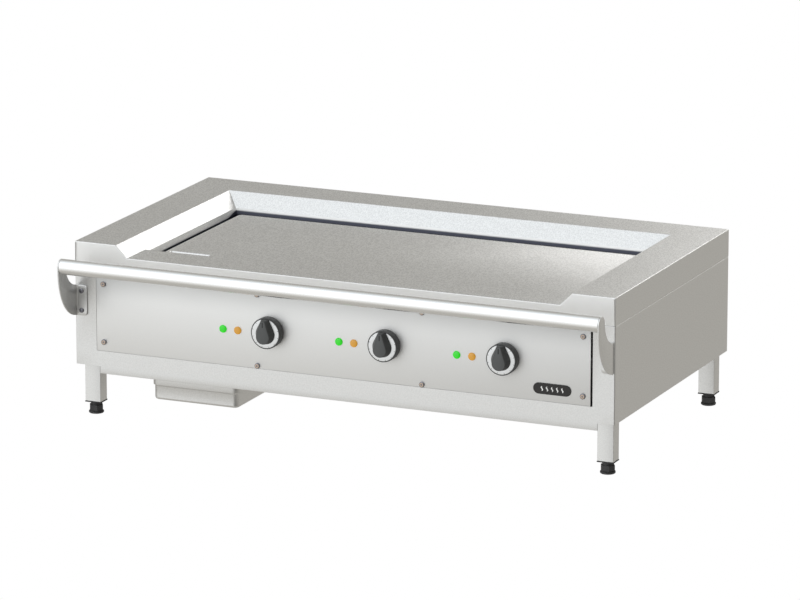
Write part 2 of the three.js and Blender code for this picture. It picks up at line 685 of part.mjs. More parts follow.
// Thermostat block behind the panel, with a bushing that fills the panel's hole.
function thermostatGeometry() {
  const [across, deep, high] = THERMOSTAT;
  const block = box(-across / 2, across / 2, SHEET, SHEET + deep, -high / 2, high / 2);
  const bushing = rod('y', BUSHING, [0, 0], FIT, SHEET + 1, 12);
  const bore = rod('y', SPINDLE + 2 * FIT, [0, 0], -OVERCUT, SPINDLE_IN + 1, 12);
  return cut(join(block, bushing), bore);
}

// Pilot lamp: a domed lens in front of the panel, its barrel and nut behind.
function lampGeometry() {
  const dome = LAMP_DOME / 2;
  const barrel = LAMP_BARREL / 2;
  const nut = LAMP_NUT / 2;
  const nutFront = -PANEL_SHEET - FIT;
  const profile = [
    [0, -LAMP_LENGTH], [barrel, -LAMP_LENGTH], [barrel, nutFront - 3], [nut, nutFront - 3],
    [nut, nutFront], [barrel, nutFront], [barrel, FIT], [dome, FIT], [dome * 0.92, LAMP_HEIGHT * 0.55],
    [dome * 0.6, LAMP_HEIGHT * 0.9], [0, LAMP_HEIGHT],
  ];
  return turned(profile, 'out', 14);
}

// Plain stadium-shaped badge.
function badge() {
  const [across, high, thick] = BADGE;
  const outline = roundedOutline(-across / 2, across / 2, -high / 2, high / 2, high / 2 - FIT, 6);
  const plate = loft([{ z: FIT, outline }, { z: FIT + thick, outline }]).rotateX(Math.PI / 2);
  return piece('badge', 'blackPaint', plate, [SIDE - BADGE_RIGHT, FRONT, BODY_BOTTOM + BADGE_RISE]);
}

// ------------------------------------------------------------------ hand rail

function handRail() {
  const end = SIDE - BRACKET_INSET - BRACKET_SHEET - FIT;
  const tube = rod('x', RAIL, [RAIL_Y, RAIL_Z], -end, end, 24);
  const bore = rod('x', RAIL - 2 * RAIL_WALL, [RAIL_Y, RAIL_Z], -end - OVERCUT, end + OVERCUT, 24);
  return piece('hand_rail', 'satinSteel', cut(tube, bore));
}

// Hooked side plate with a round head, and a flange folded onto the cabinet's front.
function bracketGeometry() {
  const [foot, heel] = BRACKET_FOOT;
  const reach = RAIL_REACH;
  const radius = RAIL / 2;
  const outline = new THREE.Shape();
  outline.moveTo(-BRACKET_BEND, -heel);
  outline.bezierCurveTo(-33, -87, -reach + RAIL + 1, -65, -reach + RAIL, -RAIL_DROP);
  outline.absarc(-reach + radius, -RAIL_DROP, radius, 0, Math.PI, false);
  outline.bezierCurveTo(-reach, -110, -45, -150, -BRACKET_BEND, -foot + 1);
  const plate = new THREE.ExtrudeGeometry(outline, {
    depth: BRACKET_SHEET, bevelEnabled: false, curveSegments: 9,
  });
  // The outline's (x, y) become (y, z), and the sheet's thickness runs along +X.
  plate.rotateX(Math.PI / 2).rotateZ(Math.PI / 2);
  // Folded strip, seen from above: along the plate, round the bend, along the front.
  const inner = BRACKET_BEND - BRACKET_SHEET;
  const strip = new THREE.Shape();
  strip.moveTo(0, -BRACKET_BEND - 1);
  strip.lineTo(BRACKET_SHEET, -BRACKET_BEND - 1);
  strip.lineTo(BRACKET_SHEET, -BRACKET_BEND - FIT);
  strip.absarc(BRACKET_BEND, -BRACKET_BEND - FIT, inner, Math.PI, Math.PI / 2, true);
  strip.lineTo(BRACKET_FLANGE, -BRACKET_SHEET - FIT);
  strip.lineTo(BRACKET_FLANGE, -FIT);
  strip.lineTo(BRACKET_BEND, -FIT);
  strip.absarc(BRACKET_BEND, -BRACKET_BEND - FIT, BRACKET_BEND, Math.PI / 2, Math.PI, false);
  const fold = new THREE.ExtrudeGeometry(strip, {
    depth: foot - heel - 2, bevelEnabled: false, curveSegments: 4,
  });
  fold.translate(0, 0, -foot + 1);
  const holes = BRACKET_BOLTS.map((drop) => (
    rod('y', BOLT_SHANK + 2 * FIT, [BRACKET_BOLT_IN - BRACKET_INSET, -drop], -2 * BRACKET_BEND, OVERCUT, 12)
  ));
  return cut(join(plate, fold), ...holes);
}

// The right bracket is the left one seen in a mirror, with its faces turned back out.
function railBrackets() {
  const left = bracketGeometry();
  const right = left.clone();
  right.scale(-1, 1, 1);
  const corners = right.index.array;
  for (let i = 0; i < corners.length; i += 3) {
    [corners[i + 1], corners[i + 2]] = [corners[i + 2], corners[i + 1]];
  }
  right.computeVertexNormals();
  const x = SIDE - BRACKET_INSET;
  return [
    piece('rail_bracket_left', 'satinSteel', left, [-x, FRONT, HEIGHT]),
    piece('rail_bracket_right', 'satinSteel', right, [x, FRONT, HEIGHT]),
  ];
}

function bracketBolts() {
  const head = BOLT_HEAD / 2;
  const shank = BOLT_SHANK / 2;
  const seat = BRACKET_SHEET + 2 * FIT;
  const profile = [
    [0, seat - BOLT_LENGTH], [shank, seat - BOLT_LENGTH], [shank, seat], [head, seat],
    [head, seat + 1], [head * 0.8, seat + BOLT_HEAD_HEIGHT * 0.8], [head * 0.4, seat + BOLT_HEAD_HEIGHT],
    [0, seat + BOLT_HEAD_HEIGHT],
  ];
  return bracketBoltPlaces().map(([x, z], i) => (
    piece(`bracket_bolt_${i + 1}`, 'darkSteel', turned(profile, 'out', 10), [x, FRONT, z])
  ));
}

// ---------------------------------------------------------------------- stand

function tube(x0, x1, y0, y1, z0, z1, bore) {
  return cut(box(x0, x1, y0, y1, z0, z1), box(...bore));
}

function legs() {
  const [across, deep] = LEG;
  const top = BODY_BOTTOM - FIT;
  const wall = LEG_WALL;
  const leg = () => tube(
    -across / 2, across / 2, -deep / 2, deep / 2, FOOT_HEIGHT, top,
    [-across / 2 + wall, across / 2 - wall, -deep / 2 + wall, deep / 2 - wall, 0, HEIGHT],
  );
  return legPlaces().map(({ name, at }) => piece(`leg_${name}`, 'satinSteel', leg(), at));
}

function legPlaces() {
  const ends = { front: LEG_Y[0], rear: LEG_Y[1] };
  const sides = { left: -LEG_X, right: LEG_X };
  return Object.entries(ends).flatMap(([end, y]) => (
    Object.entries(sides).map(([side, x]) => ({ name: `${end}_${side}`, at: [x, y, 0] }))
  ));
}

// Crossbar between the front legs, flush with their outer faces.
function crossbar() {
  const [deep, high] = BAR;
  const x = LEG_X - LEG[0] / 2 - FIT;
  const y = FRONT + LEG_END_INSET;
  const wall = LEG_WALL;
  const bore = [-SIDE, SIDE, y + wall, y + deep - wall, BAR_BOTTOM + wall, BAR_BOTTOM + high - wall];
  return piece('crossbar', 'satinSteel', tube(-x, x, y, y + deep, BAR_BOTTOM, BAR_BOTTOM + high, bore));
}

// Black plug in each leg's end, with a flange under the tube and a bore for the stud.
function footInserts() {
  const [across, deep] = LEG;
  const top = FOOT_HEIGHT - FIT;
  const halfX = across / 2 + INSERT_LIP;
  const halfY = deep / 2 + INSERT_LIP;
  const plugX = across / 2 - LEG_WALL - FIT;
  const plugY = deep / 2 - LEG_WALL - FIT;
  const insert = () => {
    const outline = roundedOutline(-halfX, halfX, -halfY, halfY, 2, 2);
    const flange = loft([{ z: top - INSERT_FLANGE, outline }, { z: top, outline }]);
    const plug = box(-plugX, plugX, -plugY, plugY, top - 1, top + INSERT_PLUG);
    const bore = rod('z', FOOT_STUD + 2 * FIT, [0, 0], 0, 2 * FOOT_HEIGHT, 12);
    return cut(join(flange, plug), bore);
  };
  return legPlaces().map(({ name, at }) => piece(`foot_insert_${name}`, 'blackPlastic', insert(), at));
}

// Levelling foot: round base, hexagon to turn it by, neck, and a stud in the insert.
function levellingFeet() {
  const [disc, discHeight] = FOOT_DISC;
  const [hexAcross, hexHeight] = FOOT_HEX;
  const neckTop = FOOT_HEIGHT - FIT - INSERT_FLANGE - FIT;
  const foot = () => {
    const base = turned([
      [0, 0], [disc / 2 - 1.5, 0], [disc / 2, 1.5], [disc / 2, discHeight - 1.5],
      [disc / 2 - 1.5, discHeight], [0, discHeight],
    ], 'up', 16);
    const hexagon = rod('z', hexAcross, [0, 0], discHeight - 1, discHeight + hexHeight, 6);
    const neck = rod('z', FOOT_NECK, [0, 0], discHeight + hexHeight - 1, neckTop, 12);
    const stud = rod('z', FOOT_STUD, [0, 0], neckTop - 1, FOOT_STUD_TOP, 12);
    return join(base, hexagon, neck, stud);
  };
  return legPlaces().map(({ name, at }) => piece(`levelling_foot_${name}`, 'blackPlastic', foot(), at));
}

// -------------------------------------------------------------------- heating

// x of each zone's element, and of its two terminals.
function zoneCentres() {
  return Array.from({ length: ZONES }, (_, i) => (i - (ZONES - 1) / 2) * ELEMENT_ZONE);
}

function terminalPlaces() {
  const half = ((ELEMENT_LEGS - 1) / 2) * ELEMENT_PITCH;
  return zoneCentres().flatMap((x) => [x - half, x + half]);
}

// Tube bent to and fro under the plate, its two ends turned down as terminals.
function heatingElements() {
  const y0 = LEDGE_Y0 + ELEMENT_END;
  const y1 = LEDGE_Y1 - ELEMENT_END;
  const turn = ELEMENT_PITCH / 2;
  const half = ((ELEMENT_LEGS - 1) / 2) * ELEMENT_PITCH;
  const point = (x, y, z = 0) => new THREE.Vector3(x, y, z);
  const path = new THREE.CurvePath();
  const tail = (x, away) => {
    const curves = [
      new THREE.LineCurve3(point(x, y0, -ELEMENT_TAIL), point(x, y0, -ELEMENT_BEND)),
      new THREE.QuadraticBezierCurve3(point(x, y0, -ELEMENT_BEND), point(x, y0), point(x, y0 + ELEMENT_BEND)),
    ];
    const back = [
      new THREE.QuadraticBezierCurve3(point(x, y0 + ELEMENT_BEND), point(x, y0), point(x, y0, -ELEMENT_BEND)),
      new THREE.LineCurve3(point(x, y0, -ELEMENT_BEND), point(x, y0, -ELEMENT_TAIL)),
    ];
    return away ? curves : back;
  };
  path.curves.push(...tail(-half, true));
  for (let i = 0; i < ELEMENT_LEGS; i++) {
    const x = -half + i * ELEMENT_PITCH;
    const outward = i % 2 === 0;
    const start = i === 0 ? y0 + ELEMENT_BEND : y0 + turn;
    const near = point(x, i === ELEMENT_LEGS - 1 ? y0 + ELEMENT_BEND : start);
    const far = point(x, y1 - turn);
    path.curves.push(outward ? new THREE.LineCurve3(near, far) : new THREE.LineCurve3(far, near));
    if (i < ELEMENT_LEGS - 1) {
      const y = outward ? y1 - turn : y0 + turn;
      const bulge = y + (outward ? 1 : -1) * turn * (4 / 3);
      const next = x + ELEMENT_PITCH;
      path.curves.push(new THREE.CubicBezierCurve3(
        point(x, y), point(x, bulge), point(next, bulge), point(next, y),
      ));
    }
  }
  path.curves.push(...tail(half, false));
  const section = new THREE.Shape().absarc(0, 0, ELEMENT_TUBE / 2, 0, 2 * Math.PI);
  return zoneCentres().map((x, i) => {
    const bent = new THREE.ExtrudeGeometry(section, { steps: 64, extrudePath: path, curveSegments: 3 });
    return piece(`heating_element_${i + 1}`, 'elementSheath', bent, [x, 0, ELEMENT_Z]);
  });
}

function terminalHoles() {
  const y = LEDGE_Y0 + ELEMENT_END;
  return terminalPlaces().map((x) => rod('z', TERMINAL_HOLE, [x, y], 0, HEIGHT, 12));
}

// Mineral slab pressed up under the elements.
function insulationSlab() {
  const x = LEDGE_X - FIT;
  const slab = box(-x, x, SHIELD_Y[0] + SHIELD_SHEET + FIT, SHIELD_Y[1] - SHIELD_SHEET - FIT,
    SHIELD_FLOOR + FIT, INSULATION_TOP);
  return piece('insulation_slab', 'mineralWool', cut(slab, ...terminalHoles()));
}

// Tray that holds the slab up, hung by its side flanges under the gutter floor.
function heatShield() {
  const x = LEDGE_X + SHIELD_SHEET;
  const [y0, y1] = SHIELD_Y;
  const z0 = SHIELD_FLOOR - SHIELD_SHEET;
  const tray = box(-x, x, y0, y1, z0, SHIELD_TOP);
  const flange = box(-x - SHIELD_FLANGE, x + SHIELD_FLANGE, y0, y1, SHIELD_TOP - SHIELD_SHEET, SHIELD_TOP);
  const inside = box(-LEDGE_X, LEDGE_X, y0 + SHIELD_SHEET, y1 - SHIELD_SHEET, SHIELD_FLOOR, HEIGHT);
  return piece('heat_shield', 'zincSheet', cut(join(tray, flange), inside, ...terminalHoles()));
}

// ----------------------------------------------------------------- grease pan

// Outline of the pan, grown (or shrunk) all round, at its own centre.
function panOutline(grow) {
  const x = PAN_BODY[0] / 2 + grow;
  const y = PAN_BODY[1] / 2 + grow;
  return roundedOutline(-x, x, -y, y, Math.max(PAN_CORNER + grow, FIT), 4);
}

// Skin of the pan: rounded bottom edge, straight body, step, straight collar.
function panForm(wall, top) {
  const radius = PAN_CORNER - wall;
  const bottom = PAN_BOTTOM + wall;
  const levels = rounding(radius, 3).reverse().map(([inset, rise]) => ({
    z: bottom + radius - rise, outline: panOutline(-wall - inset),
  }));
  levels.push({ z: PAN_COLLAR - PAN_STEP / 2 + wall, outline: panOutline(-wall) });
  levels.push({ z: PAN_COLLAR + wall, outline: panOutline(PAN_STEP - wall) });
  levels.push({ z: top, outline: panOutline(PAN_STEP - wall) });
  return loft(levels);
}

function greasePan() {
  const flangeOutline = panOutline(PAN_STEP + PAN_FLANGE);
  const flange = loft([
    { z: PAN_TOP - PAN_WALL, outline: flangeOutline },
    { z: PAN_TOP, outline: flangeOutline },
  ]);
  const pan = cut(join(panForm(0, PAN_TOP), flange), panForm(PAN_WALL, PAN_TOP + OVERCUT));
  return piece('grease_pan', 'satinSteel', pan, [PAN_X, PAN_Y, 0]);
}

// Two runners under the cabinet that hold the pan by its flanges, joined by a stop.
function panCradle() {
  const flangeX = PAN_BODY[0] / 2 + PAN_STEP + PAN_FLANGE;
  const web = flangeX + 1;
  const outer = web + RUNNER_SHEET;
  const lipTop = PAN_TOP - PAN_WALL - FIT;
  const lipEnd = flangeX - PAN_FLANGE + 1;
  const top = BODY_BOTTOM - FIT;
  const front = FRONT + RUNNER_FRONT - PAN_Y;
  const stop = PAN_BODY[1] / 2 + PAN_STEP + PAN_FLANGE + FIT;
  // Z section: fixing flange, web, and the lip under the pan's flange.
  const section = [
    [web, top], [web, lipTop], [lipEnd, lipTop], [lipEnd, lipTop - RUNNER_SHEET],
    [outer, lipTop - RUNNER_SHEET], [outer, top - RUNNER_SHEET],
    [web + RUNNER_FLANGE, top - RUNNER_SHEET], [web + RUNNER_FLANGE, top],
  ];
  const runner = (side) => {
    const outline = new THREE.Shape(section.map(([x, z]) => new THREE.Vector2(side * x, z)));
    const depth = stop + RUNNER_TAIL - front;
    const rail = new THREE.ExtrudeGeometry(outline, { depth, bevelEnabled: false });
    return rail.rotateX(Math.PI / 2).translate(0, front + depth, 0);
  };
  const bar = box(-web - 1, web + 1, stop, stop + RUNNER_SHEET, lipTop - 1, lipTop + RUNNER_STOP);
  return piece('pan_cradle', 'satinSteel', join(bar, runner(-1), runner(1)), [PAN_X, PAN_Y, 0]);
}

// ------------------------------------------------------------------- assembly

const griddle = new THREE.Group();
griddle.add(
  ...topParts(), griddlePlate(), drainChute(),
  cabinetShell(), basePlate(), rearCover(), cableGland(),
  controlPanel(), ...panelScrews(), ...controls(), badge(),
  handRail(), ...railBrackets(), ...bracketBolts(),
  ...legs(), crossbar(), ...footInserts(), ...levellingFeet(),
  ...heatingElements(), insulationSlab(), heatShield(),
  greasePan(), panCradle(),
);

export default griddle;
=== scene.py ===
import math

import bmesh
import bpy
import numpy as np
from mathutils import Matrix, Vector


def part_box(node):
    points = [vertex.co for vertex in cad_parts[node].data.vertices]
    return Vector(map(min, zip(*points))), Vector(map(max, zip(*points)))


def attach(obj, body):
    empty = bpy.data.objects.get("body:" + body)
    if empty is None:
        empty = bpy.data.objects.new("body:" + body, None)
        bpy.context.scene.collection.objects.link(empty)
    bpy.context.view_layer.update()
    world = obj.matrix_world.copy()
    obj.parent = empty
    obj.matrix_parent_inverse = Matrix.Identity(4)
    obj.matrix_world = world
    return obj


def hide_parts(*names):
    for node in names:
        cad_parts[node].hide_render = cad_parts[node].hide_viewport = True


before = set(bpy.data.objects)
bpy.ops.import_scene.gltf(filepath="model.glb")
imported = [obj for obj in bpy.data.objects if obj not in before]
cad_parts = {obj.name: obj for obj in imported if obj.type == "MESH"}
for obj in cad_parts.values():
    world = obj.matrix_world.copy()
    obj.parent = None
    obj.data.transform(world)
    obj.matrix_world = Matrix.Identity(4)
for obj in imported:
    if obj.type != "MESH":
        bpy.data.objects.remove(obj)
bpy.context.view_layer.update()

# Shapes are worked out in millimetres, in the griddle's own frame, and made metres once.
MM = 0.001
FIT = 0.3


def span(node):
    """Lowest and highest corner of a CAD node, in millimetres."""
    low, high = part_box(node)
    return np.array(low) / MM, np.array(high) / MM


# ---------------------------------------------------------------- sizes from the frame

(_, FRONT, BODY_BOTTOM), (SIDE, BACK, SHELL_TOP) = span("cabinet_shell")
(_, _, SEAM), (_, _, HEIGHT) = span("top_back")
(PLATE_LEFT, PLATE_FRONT, PLATE_UNDER), (PLATE_RIGHT, PLATE_BACK, COOKING) = span("griddle_plate")
(_, _, FLOOR_UNDER), (WALL_X, WALL_Y, LIP_TOP) = span("gutter_floor")
LAND_END = PLATE_FRONT - FIT
WALL_X += FIT
WALL_Y += 2 * FIT

# ---------------------------------------------------------------- sizes of the details

TOP_SHEET = 3
RIM = 94
BASIN = HEIGHT - COOKING
GUTTER_FLOOR = FLOOR_UNDER + TOP_SHEET
TOP_EDGE = 1.8
SLOPE_BEND = 3
LEAN_IN = 3.5
LEAN_DOWN = 12
SHEET = 2
SHOULDER = 2
CABINET_CORNER = 2.6
TOP_FLANGE = 24
PANEL_OPENING = {"half": 552, "low": 143.5, "high": 306}
PLATE_ROLL = 18
PLATE_ROLL_RIGHT = 2
PLATE_CORNER = 20
NOTCH = {"width": 87, "depth": 12, "start": 22.5}
NOTCH_ROLL = 4
PLATE_OPENING = {"half": 400.3, "front": -166, "back": 162.8, "lip": 3}
DRAIN = {"width": 80, "depth": 16, "setback": 3}
KNOB_FACE = 20
KNOB_GRIP = 14
GRIP_EDGE = 1.2
# Radius of the heel, its centre above the knob's axis, reach of the tip and half the tip's width.
GRIP_FOOT = [21.7, -0.6, 30.5, 9.5]
GRIP_FACE = [14.8, -5, 29.3, 5.2]
DIAL_INNER = 15
DIAL_OUTER = 30.1
RAIL_WALL = 1.5
BRACKET_SHEET = 3
BRACKET_HEEL = 65
BRACKET_FLANGE = 26
FLANGE_CORNER = 5
PAN_FLANGE = 8
PAN_SHEET = 1.5
PAN_STEP = 3.3
PAN_COLLAR = 66
PAN_BEND = 6
PAN_CORNER = 11.5


# ---------------------------------------------------------------- mesh tools

SHARP_ANGLE = 32


def bend(points, radii, steps=6):
    """A flat line whose inner corners become tangent arcs: each arc turns from one leg to the next."""
    points = np.asarray(points, float)
    out = [points[0]]
    for before, at, after, radius in zip(points, points[1:], points[2:], radii):
        if radius == 0:
            out.append(at)
            continue
        u = (before - at) / np.linalg.norm(before - at)
        v = (after - at) / np.linalg.norm(after - at)
        half = math.acos(np.clip(u @ v, -1, 1)) / 2
        centre = at + (u + v) / np.linalg.norm(u + v) * radius / math.sin(half)
        first = at + u * radius / math.tan(half) - centre
        last = at + v * radius / math.tan(half) - centre
        turn = math.pi - 2 * half
        t = np.linspace(0, 1, steps + 1)[:, None]
        out.extend(centre + (np.sin((1 - t) * turn) * first + np.sin(t * turn) * last) / math.sin(turn))
    out.append(points[-1])
    return np.array(out)


def rounded_rectangle(x0, x1, y0, y1, radii, steps=6):
    """Outline with a quarter circle at each corner, anticlockwise from the lower right one."""
    radii = np.broadcast_to(np.asarray(radii, float), 4)
    centres = np.array([[x1, y0], [x1, y1], [x0, y1], [x0, y0]], float)
    inward = np.array([[-1, 1], [-1, -1], [1, -1], [1, 1]], float)
    angles = np.radians(np.linspace(-90, 0, steps + 1) + 90 * np.arange(4)[:, None])
    arcs = np.stack([np.cos(angles), np.sin(angles)], -1) * radii[:, None, None]
    return (centres[:, None] + inward[:, None] * radii[:, None, None] + arcs).reshape(-1, 2)


def offset_line(line, distance):
    """Moves each point of a line along its mitre, to the left of the line's direction."""
    step = np.gradient(line, axis=0)
    ahead = np.vstack([line[1:] - line[:-1], step[-1:]])
    behind = np.vstack([step[:1], line[1:] - line[:-1]])
    lefts = []
    for leg in (ahead, behind):
        lefts.append(np.stack([-leg[:, 1], leg[:, 0]], 1) / np.linalg.norm(leg, axis=1, keepdims=True))
    mitre = lefts[0] + lefts[1]
    mitre /= np.maximum((mitre * lefts[0]).sum(1, keepdims=True), 0.2)
    return line + mitre * distance


def at_height(outline, z):
    """A plan outline lifted to height z."""
    return np.column_stack([outline, np.full(len(outline), float(z))])


class Shape:
    """Collects surfaces in millimetres and makes them one mesh object."""

    def __init__(self):
        self.points = []
        self.faces = []
        self.count = 0

    def _add(self, points, faces):
        self.points.append(np.asarray(points, float).reshape(-1, 3))
        self.faces.extend([tuple(int(i) + self.count for i in face) for face in faces])
        self.count += len(self.points[-1])
        return self

    def grid(self, points, wrap=False, ring=False, keep=None):
        """Quads over rows x columns; wrap closes each row, ring closes the columns, keep masks quads."""
        rows, columns = points.shape[:2]
        r = np.arange(rows if ring else rows - 1)[:, None]
        c = np.arange(columns if wrap else columns - 1)[None, :]
        corners = [(r, c), (r, c + 1), (r + 1, c + 1), (r + 1, c)]
        quads = np.stack([(i % rows) * columns + j % columns for i, j in corners], -1)
        return self._add(points, quads.reshape(-1, 4) if keep is None else quads[keep])

    def skin(self, loops):
        """Closed loops skinned one after another, with a flat face at each end."""
        loops = np.asarray(loops, float)
        start = self.count
        rows, columns = loops.shape[:2]
        self.grid(loops, wrap=True)
        self.faces.append(tuple(range(start + columns - 1, start - 1, -1)))
        self.faces.append(tuple(range(start + (rows - 1) * columns, start + rows * columns)))
        return self

    def box(self, low, high, radius=0.6, steps=3):
        """A box with rounded edges: a round row's radius falls with the sine towards both flat ends."""
        angle = np.linspace(-math.pi / 2, math.pi / 2, 2 * steps + 2)
        angle[steps:steps + 2] = 0
        low, high = np.asarray(low, float), np.asarray(high, float)
        loops = []
        for row, a in enumerate(angle):
            inset = radius * (1 - math.cos(a))
            z = (low[2] + radius if row <= steps else high[2] - radius) + radius * math.sin(a)
            plan = rounded_rectangle(low[0] + inset, high[0] - inset, low[1] + inset, high[1] - inset,
                                     max(radius - inset, 0.02), steps)
            loops.append(at_height(plan, z))
        return self.skin(loops)

    def turned(self, profile, centre, axis="out", sides=48, lobes=0, depth=0):
        """A profile of (radius, height) turned about an axis; lobes scallop the radius by depth."""
        profile = np.asarray(profile, float)
        angle = np.linspace(0, 2 * math.pi, sides, endpoint=False)
        radius = profile[:, :1] * (1 + (depth * np.cos(lobes * angle) if lobes else 0))
        u, v = radius * np.cos(angle), radius * np.sin(angle)
        h = np.broadcast_to(profile[:, 1:2], u.shape)
        points = {"out": [u, -h, v], "up": [u, v, h], "along": [h, u, v]}[axis]
        return self.grid(np.stack(points, -1) + np.asarray(centre, float), wrap=True)

    def make(self, name, body, slot, material, replaces=(), thick=0, facing=None):
        """The finished object. A sheet turns its faces to facing, then thickens on the other side."""
        mesh = bpy.data.meshes.new(name)
        mesh.from_pydata((np.vstack(self.points) * MM).tolist(), [], self.faces)
        work = bmesh.new()
        work.from_mesh(mesh)
        bmesh.ops.remove_doubles(work, verts=work.verts, dist=2e-6)
        bmesh.ops.dissolve_degenerate(work, edges=work.edges, dist=1e-6)
        bmesh.ops.recalc_face_normals(work, faces=work.faces)
        if facing is not None:
            tells = max(work.faces, key=lambda face: abs(face.normal.dot(Vector(facing))) * face.calc_area())
            if tells.normal.dot(Vector(facing)) < 0:
                bmesh.ops.reverse_faces(work, faces=work.faces)
        work.to_mesh(mesh)
        work.free()
        mesh.shade_smooth()
        mesh.set_sharp_from_angle(angle=math.radians(SHARP_ANGLE))
        mesh.materials.append(material)
        piece = bpy.data.objects.new(name, mesh)
        bpy.context.scene.collection.objects.link(piece)
        if thick:
            wall = piece.modifiers.new("wall", "SOLIDIFY")
            wall.thickness = thick * MM
            wall.offset = -1
            wall.use_even_offset = True
            flats = piece.modifiers.new("flats", "WEIGHTED_NORMAL")
            flats.keep_sharp = True
            flats.weight = 90
        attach(piece, body)
        if replaces:
            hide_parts(*replaces)


# ---------------------------------------------------------------- shader tools

class Value:
    """A shader socket that takes part in sums: each operator adds a Math node."""

    def __init__(self, finish, socket):
        self.finish = finish
        self.socket = socket

    def math(self, operation, *others, clamp=False):
        return self.finish.node("ShaderNodeMath", {"operation": operation, "use_clamp": clamp},
                                dict(enumerate((self, *others)))).out()

    def __add__(self, other):
        return self.math("ADD", other)

    def __mul__(self, other):
        return self.math("MULTIPLY", other)

    def __sub__(self, other):
        return self.math("SUBTRACT", other)

    def __rsub__(self, other):
        return self.finish.node("ShaderNodeMath", {"operation": "SUBTRACT"}, {0: other, 1: self}).out()

    def __pow__(self, other):
        return self.math("POWER", other)

    __radd__ = __add__
    __rmul__ = __mul__

    def between(self, low, high):
        """0 below low, 1 above high, smooth in between."""
        return self.finish.node("ShaderNodeMapRange", {"interpolation_type": "SMOOTHSTEP"},
                                {"Value": self, "From Min": low, "From Max": high}).out()


class Made:
    """A node that has been added, with its outputs as values."""

    def __init__(self, finish, node):
        self.finish = finish
        self.node = node

    def out(self, name=0):
        return Value(self.finish, self.node.outputs[name])


class Finish:
    """A node tree: node() adds a node, and the others name the few patterns that the finishes share."""

    def __init__(self, tree):
        self.tree = tree
        tree.nodes.clear()

    def node(self, kind, settings=None, inputs=None):
        node = self.tree.nodes.new(kind)
        for key, value in (settings or {}).items():
            setattr(node, key, value)
        for key, value in (inputs or {}).items():
            if isinstance(value, Value):
                self.tree.links.new(value.socket, node.inputs[key])
            else:
                node.inputs[key].default_value = value
        return Made(self, node)

    def place(self):
        return self.node("ShaderNodeTexCoord").out("Object")

    def axes(self):
        """The object's own x, y and z as values, in metres."""
        parts = self.node("ShaderNodeSeparateXYZ", None, {0: self.place()})
        return [parts.out(axis) for axis in "XYZ"]

    def facing(self, axis):
        """How far a surface faces along an axis, from -1 to 1."""
        normal = self.node("ShaderNodeNewGeometry").out("Normal")
        return self.node("ShaderNodeSeparateXYZ", None, {0: normal}).out(axis)

    def noise(self, scale, detail=2.0, roughness=0.5, stretch=(1, 1, 1)):
        vector = self.node("ShaderNodeMapping", None, {"Vector": self.place(), "Scale": stretch}).out()
        return self.node("ShaderNodeTexNoise", None, {
            "Vector": vector, "Scale": scale, "Detail": detail, "Roughness": roughness}).out("Fac")

    def blend(self, amount, first, second):
        """Colour mix: first where amount is 0, second where it is 1."""
        inputs = {"Factor": amount, 6: rgba(first), 7: rgba(second)}
        return self.node("ShaderNodeMix", {"data_type": "RGBA"}, inputs).out(2)

    def bump(self, height, strength, distance):
        return self.node("ShaderNodeBump", None, {
            "Height": height, "Strength": strength, "Distance": distance}).out()


def rgba(colour):
    return colour if isinstance(colour, Value) else (*colour, 1)


def material(name, build):
    """A material whose shader inputs come from build(finish)."""
    made = bpy.data.materials.new(name)
    made.use_nodes = True
    finish = Finish(made.node_tree)
    shader = finish.node("ShaderNodeBsdfPrincipled", None, build(finish))
    finish.node("ShaderNodeOutputMaterial", None, {"Surface": shader.out()})
    return made


# ---------------------------------------------------------------- finishes

def steel(colour, dark, roughness, grain, fleck):
    """Satin stainless steel: blasted grain, flecks on level faces, and slow cloudy change."""
    def build(finish):
        fine = finish.noise(420, 2.0, 0.7, (1, 0.5, 1))
        cloud = finish.noise(3.5, 3.0)
        level = finish.facing("Z").math("ABSOLUTE").between(0.6, 0.95)
        mottle = (fine - 0.5) * fleck * (level + 0.15) + (cloud - 0.5) * 0.1 + 0.5
        return {
            "Base Color": finish.blend(mottle.math("ADD", 0, clamp=True), dark, colour),
            "Metallic": 1.0,
            "Roughness": (cloud - 0.5) * 0.08 + (fine - 0.5) * 0.1 + roughness,
            "Normal": finish.bump(fine, grain, 0.0004),
        }
    return build


def gutter_steel(finish):
    """The top's steel: rougher on its front faces, whose colour is also painted lighter there as a painted
    highlight, and painted blue-black down in the trough as painted shade and dark reflection.
    """
    made = steel(STEEL, STEEL_DARK, *SATIN)(finish)
    x, y, z = finish.axes()
    # Painted shade: these masks mark the deep gutter, whose colour is painted blue-black for the shade and
    # dark reflections there.
    across = 1 - x.math("ABSOLUTE").between((WALL_X + 7.7) * MM, (WALL_X + 13.7) * MM)
    within = across * y.between((LAND_END - 3) * MM, LAND_END * MM)
    behind = y.between(PLATE_BACK * MM, WALL_Y * MM - 0.002)
    painted_trough_shade = 1 - (z - behind * 0.008).between((GUTTER_FLOOR + 9) * MM, (GUTTER_FLOOR + 13) * MM)
    # Front faces: rougher, and their colour painted lighter (0.97) as a painted highlight.
    front = finish.facing("Y").between(-0.8, -0.98)
    made["Base Color"] = finish.blend(front, made["Base Color"], (0.97, 0.97, 0.965))
    inside = within * (1 - y.between((WALL_Y + 5) * MM, (WALL_Y + 8) * MM))
    made["Base Color"] = finish.blend(painted_trough_shade * inside * 0.95, made["Base Color"], (0.05, 0.055, 0.085))
    made["Roughness"] = made["Roughness"] + front * 0.16
    return made


def panel_steel(finish):
    """Front sheet: the satin steel with less shine, and painted darker just under the rail as painted shade
    from the rail.
    """
    made = steel((0.95, 0.95, 0.945), (0.8, 0.8, 0.795), 0.54, 0.25, 2)(finish)
    # Painted shade: the colour darkens with height towards the rail above.
    high = finish.axes()[2].between(0.25, 0.31)
    made["Base Color"] = finish.blend(high * 0.9, made["Base Color"], (0.7, 0.7, 0.695))
    return made


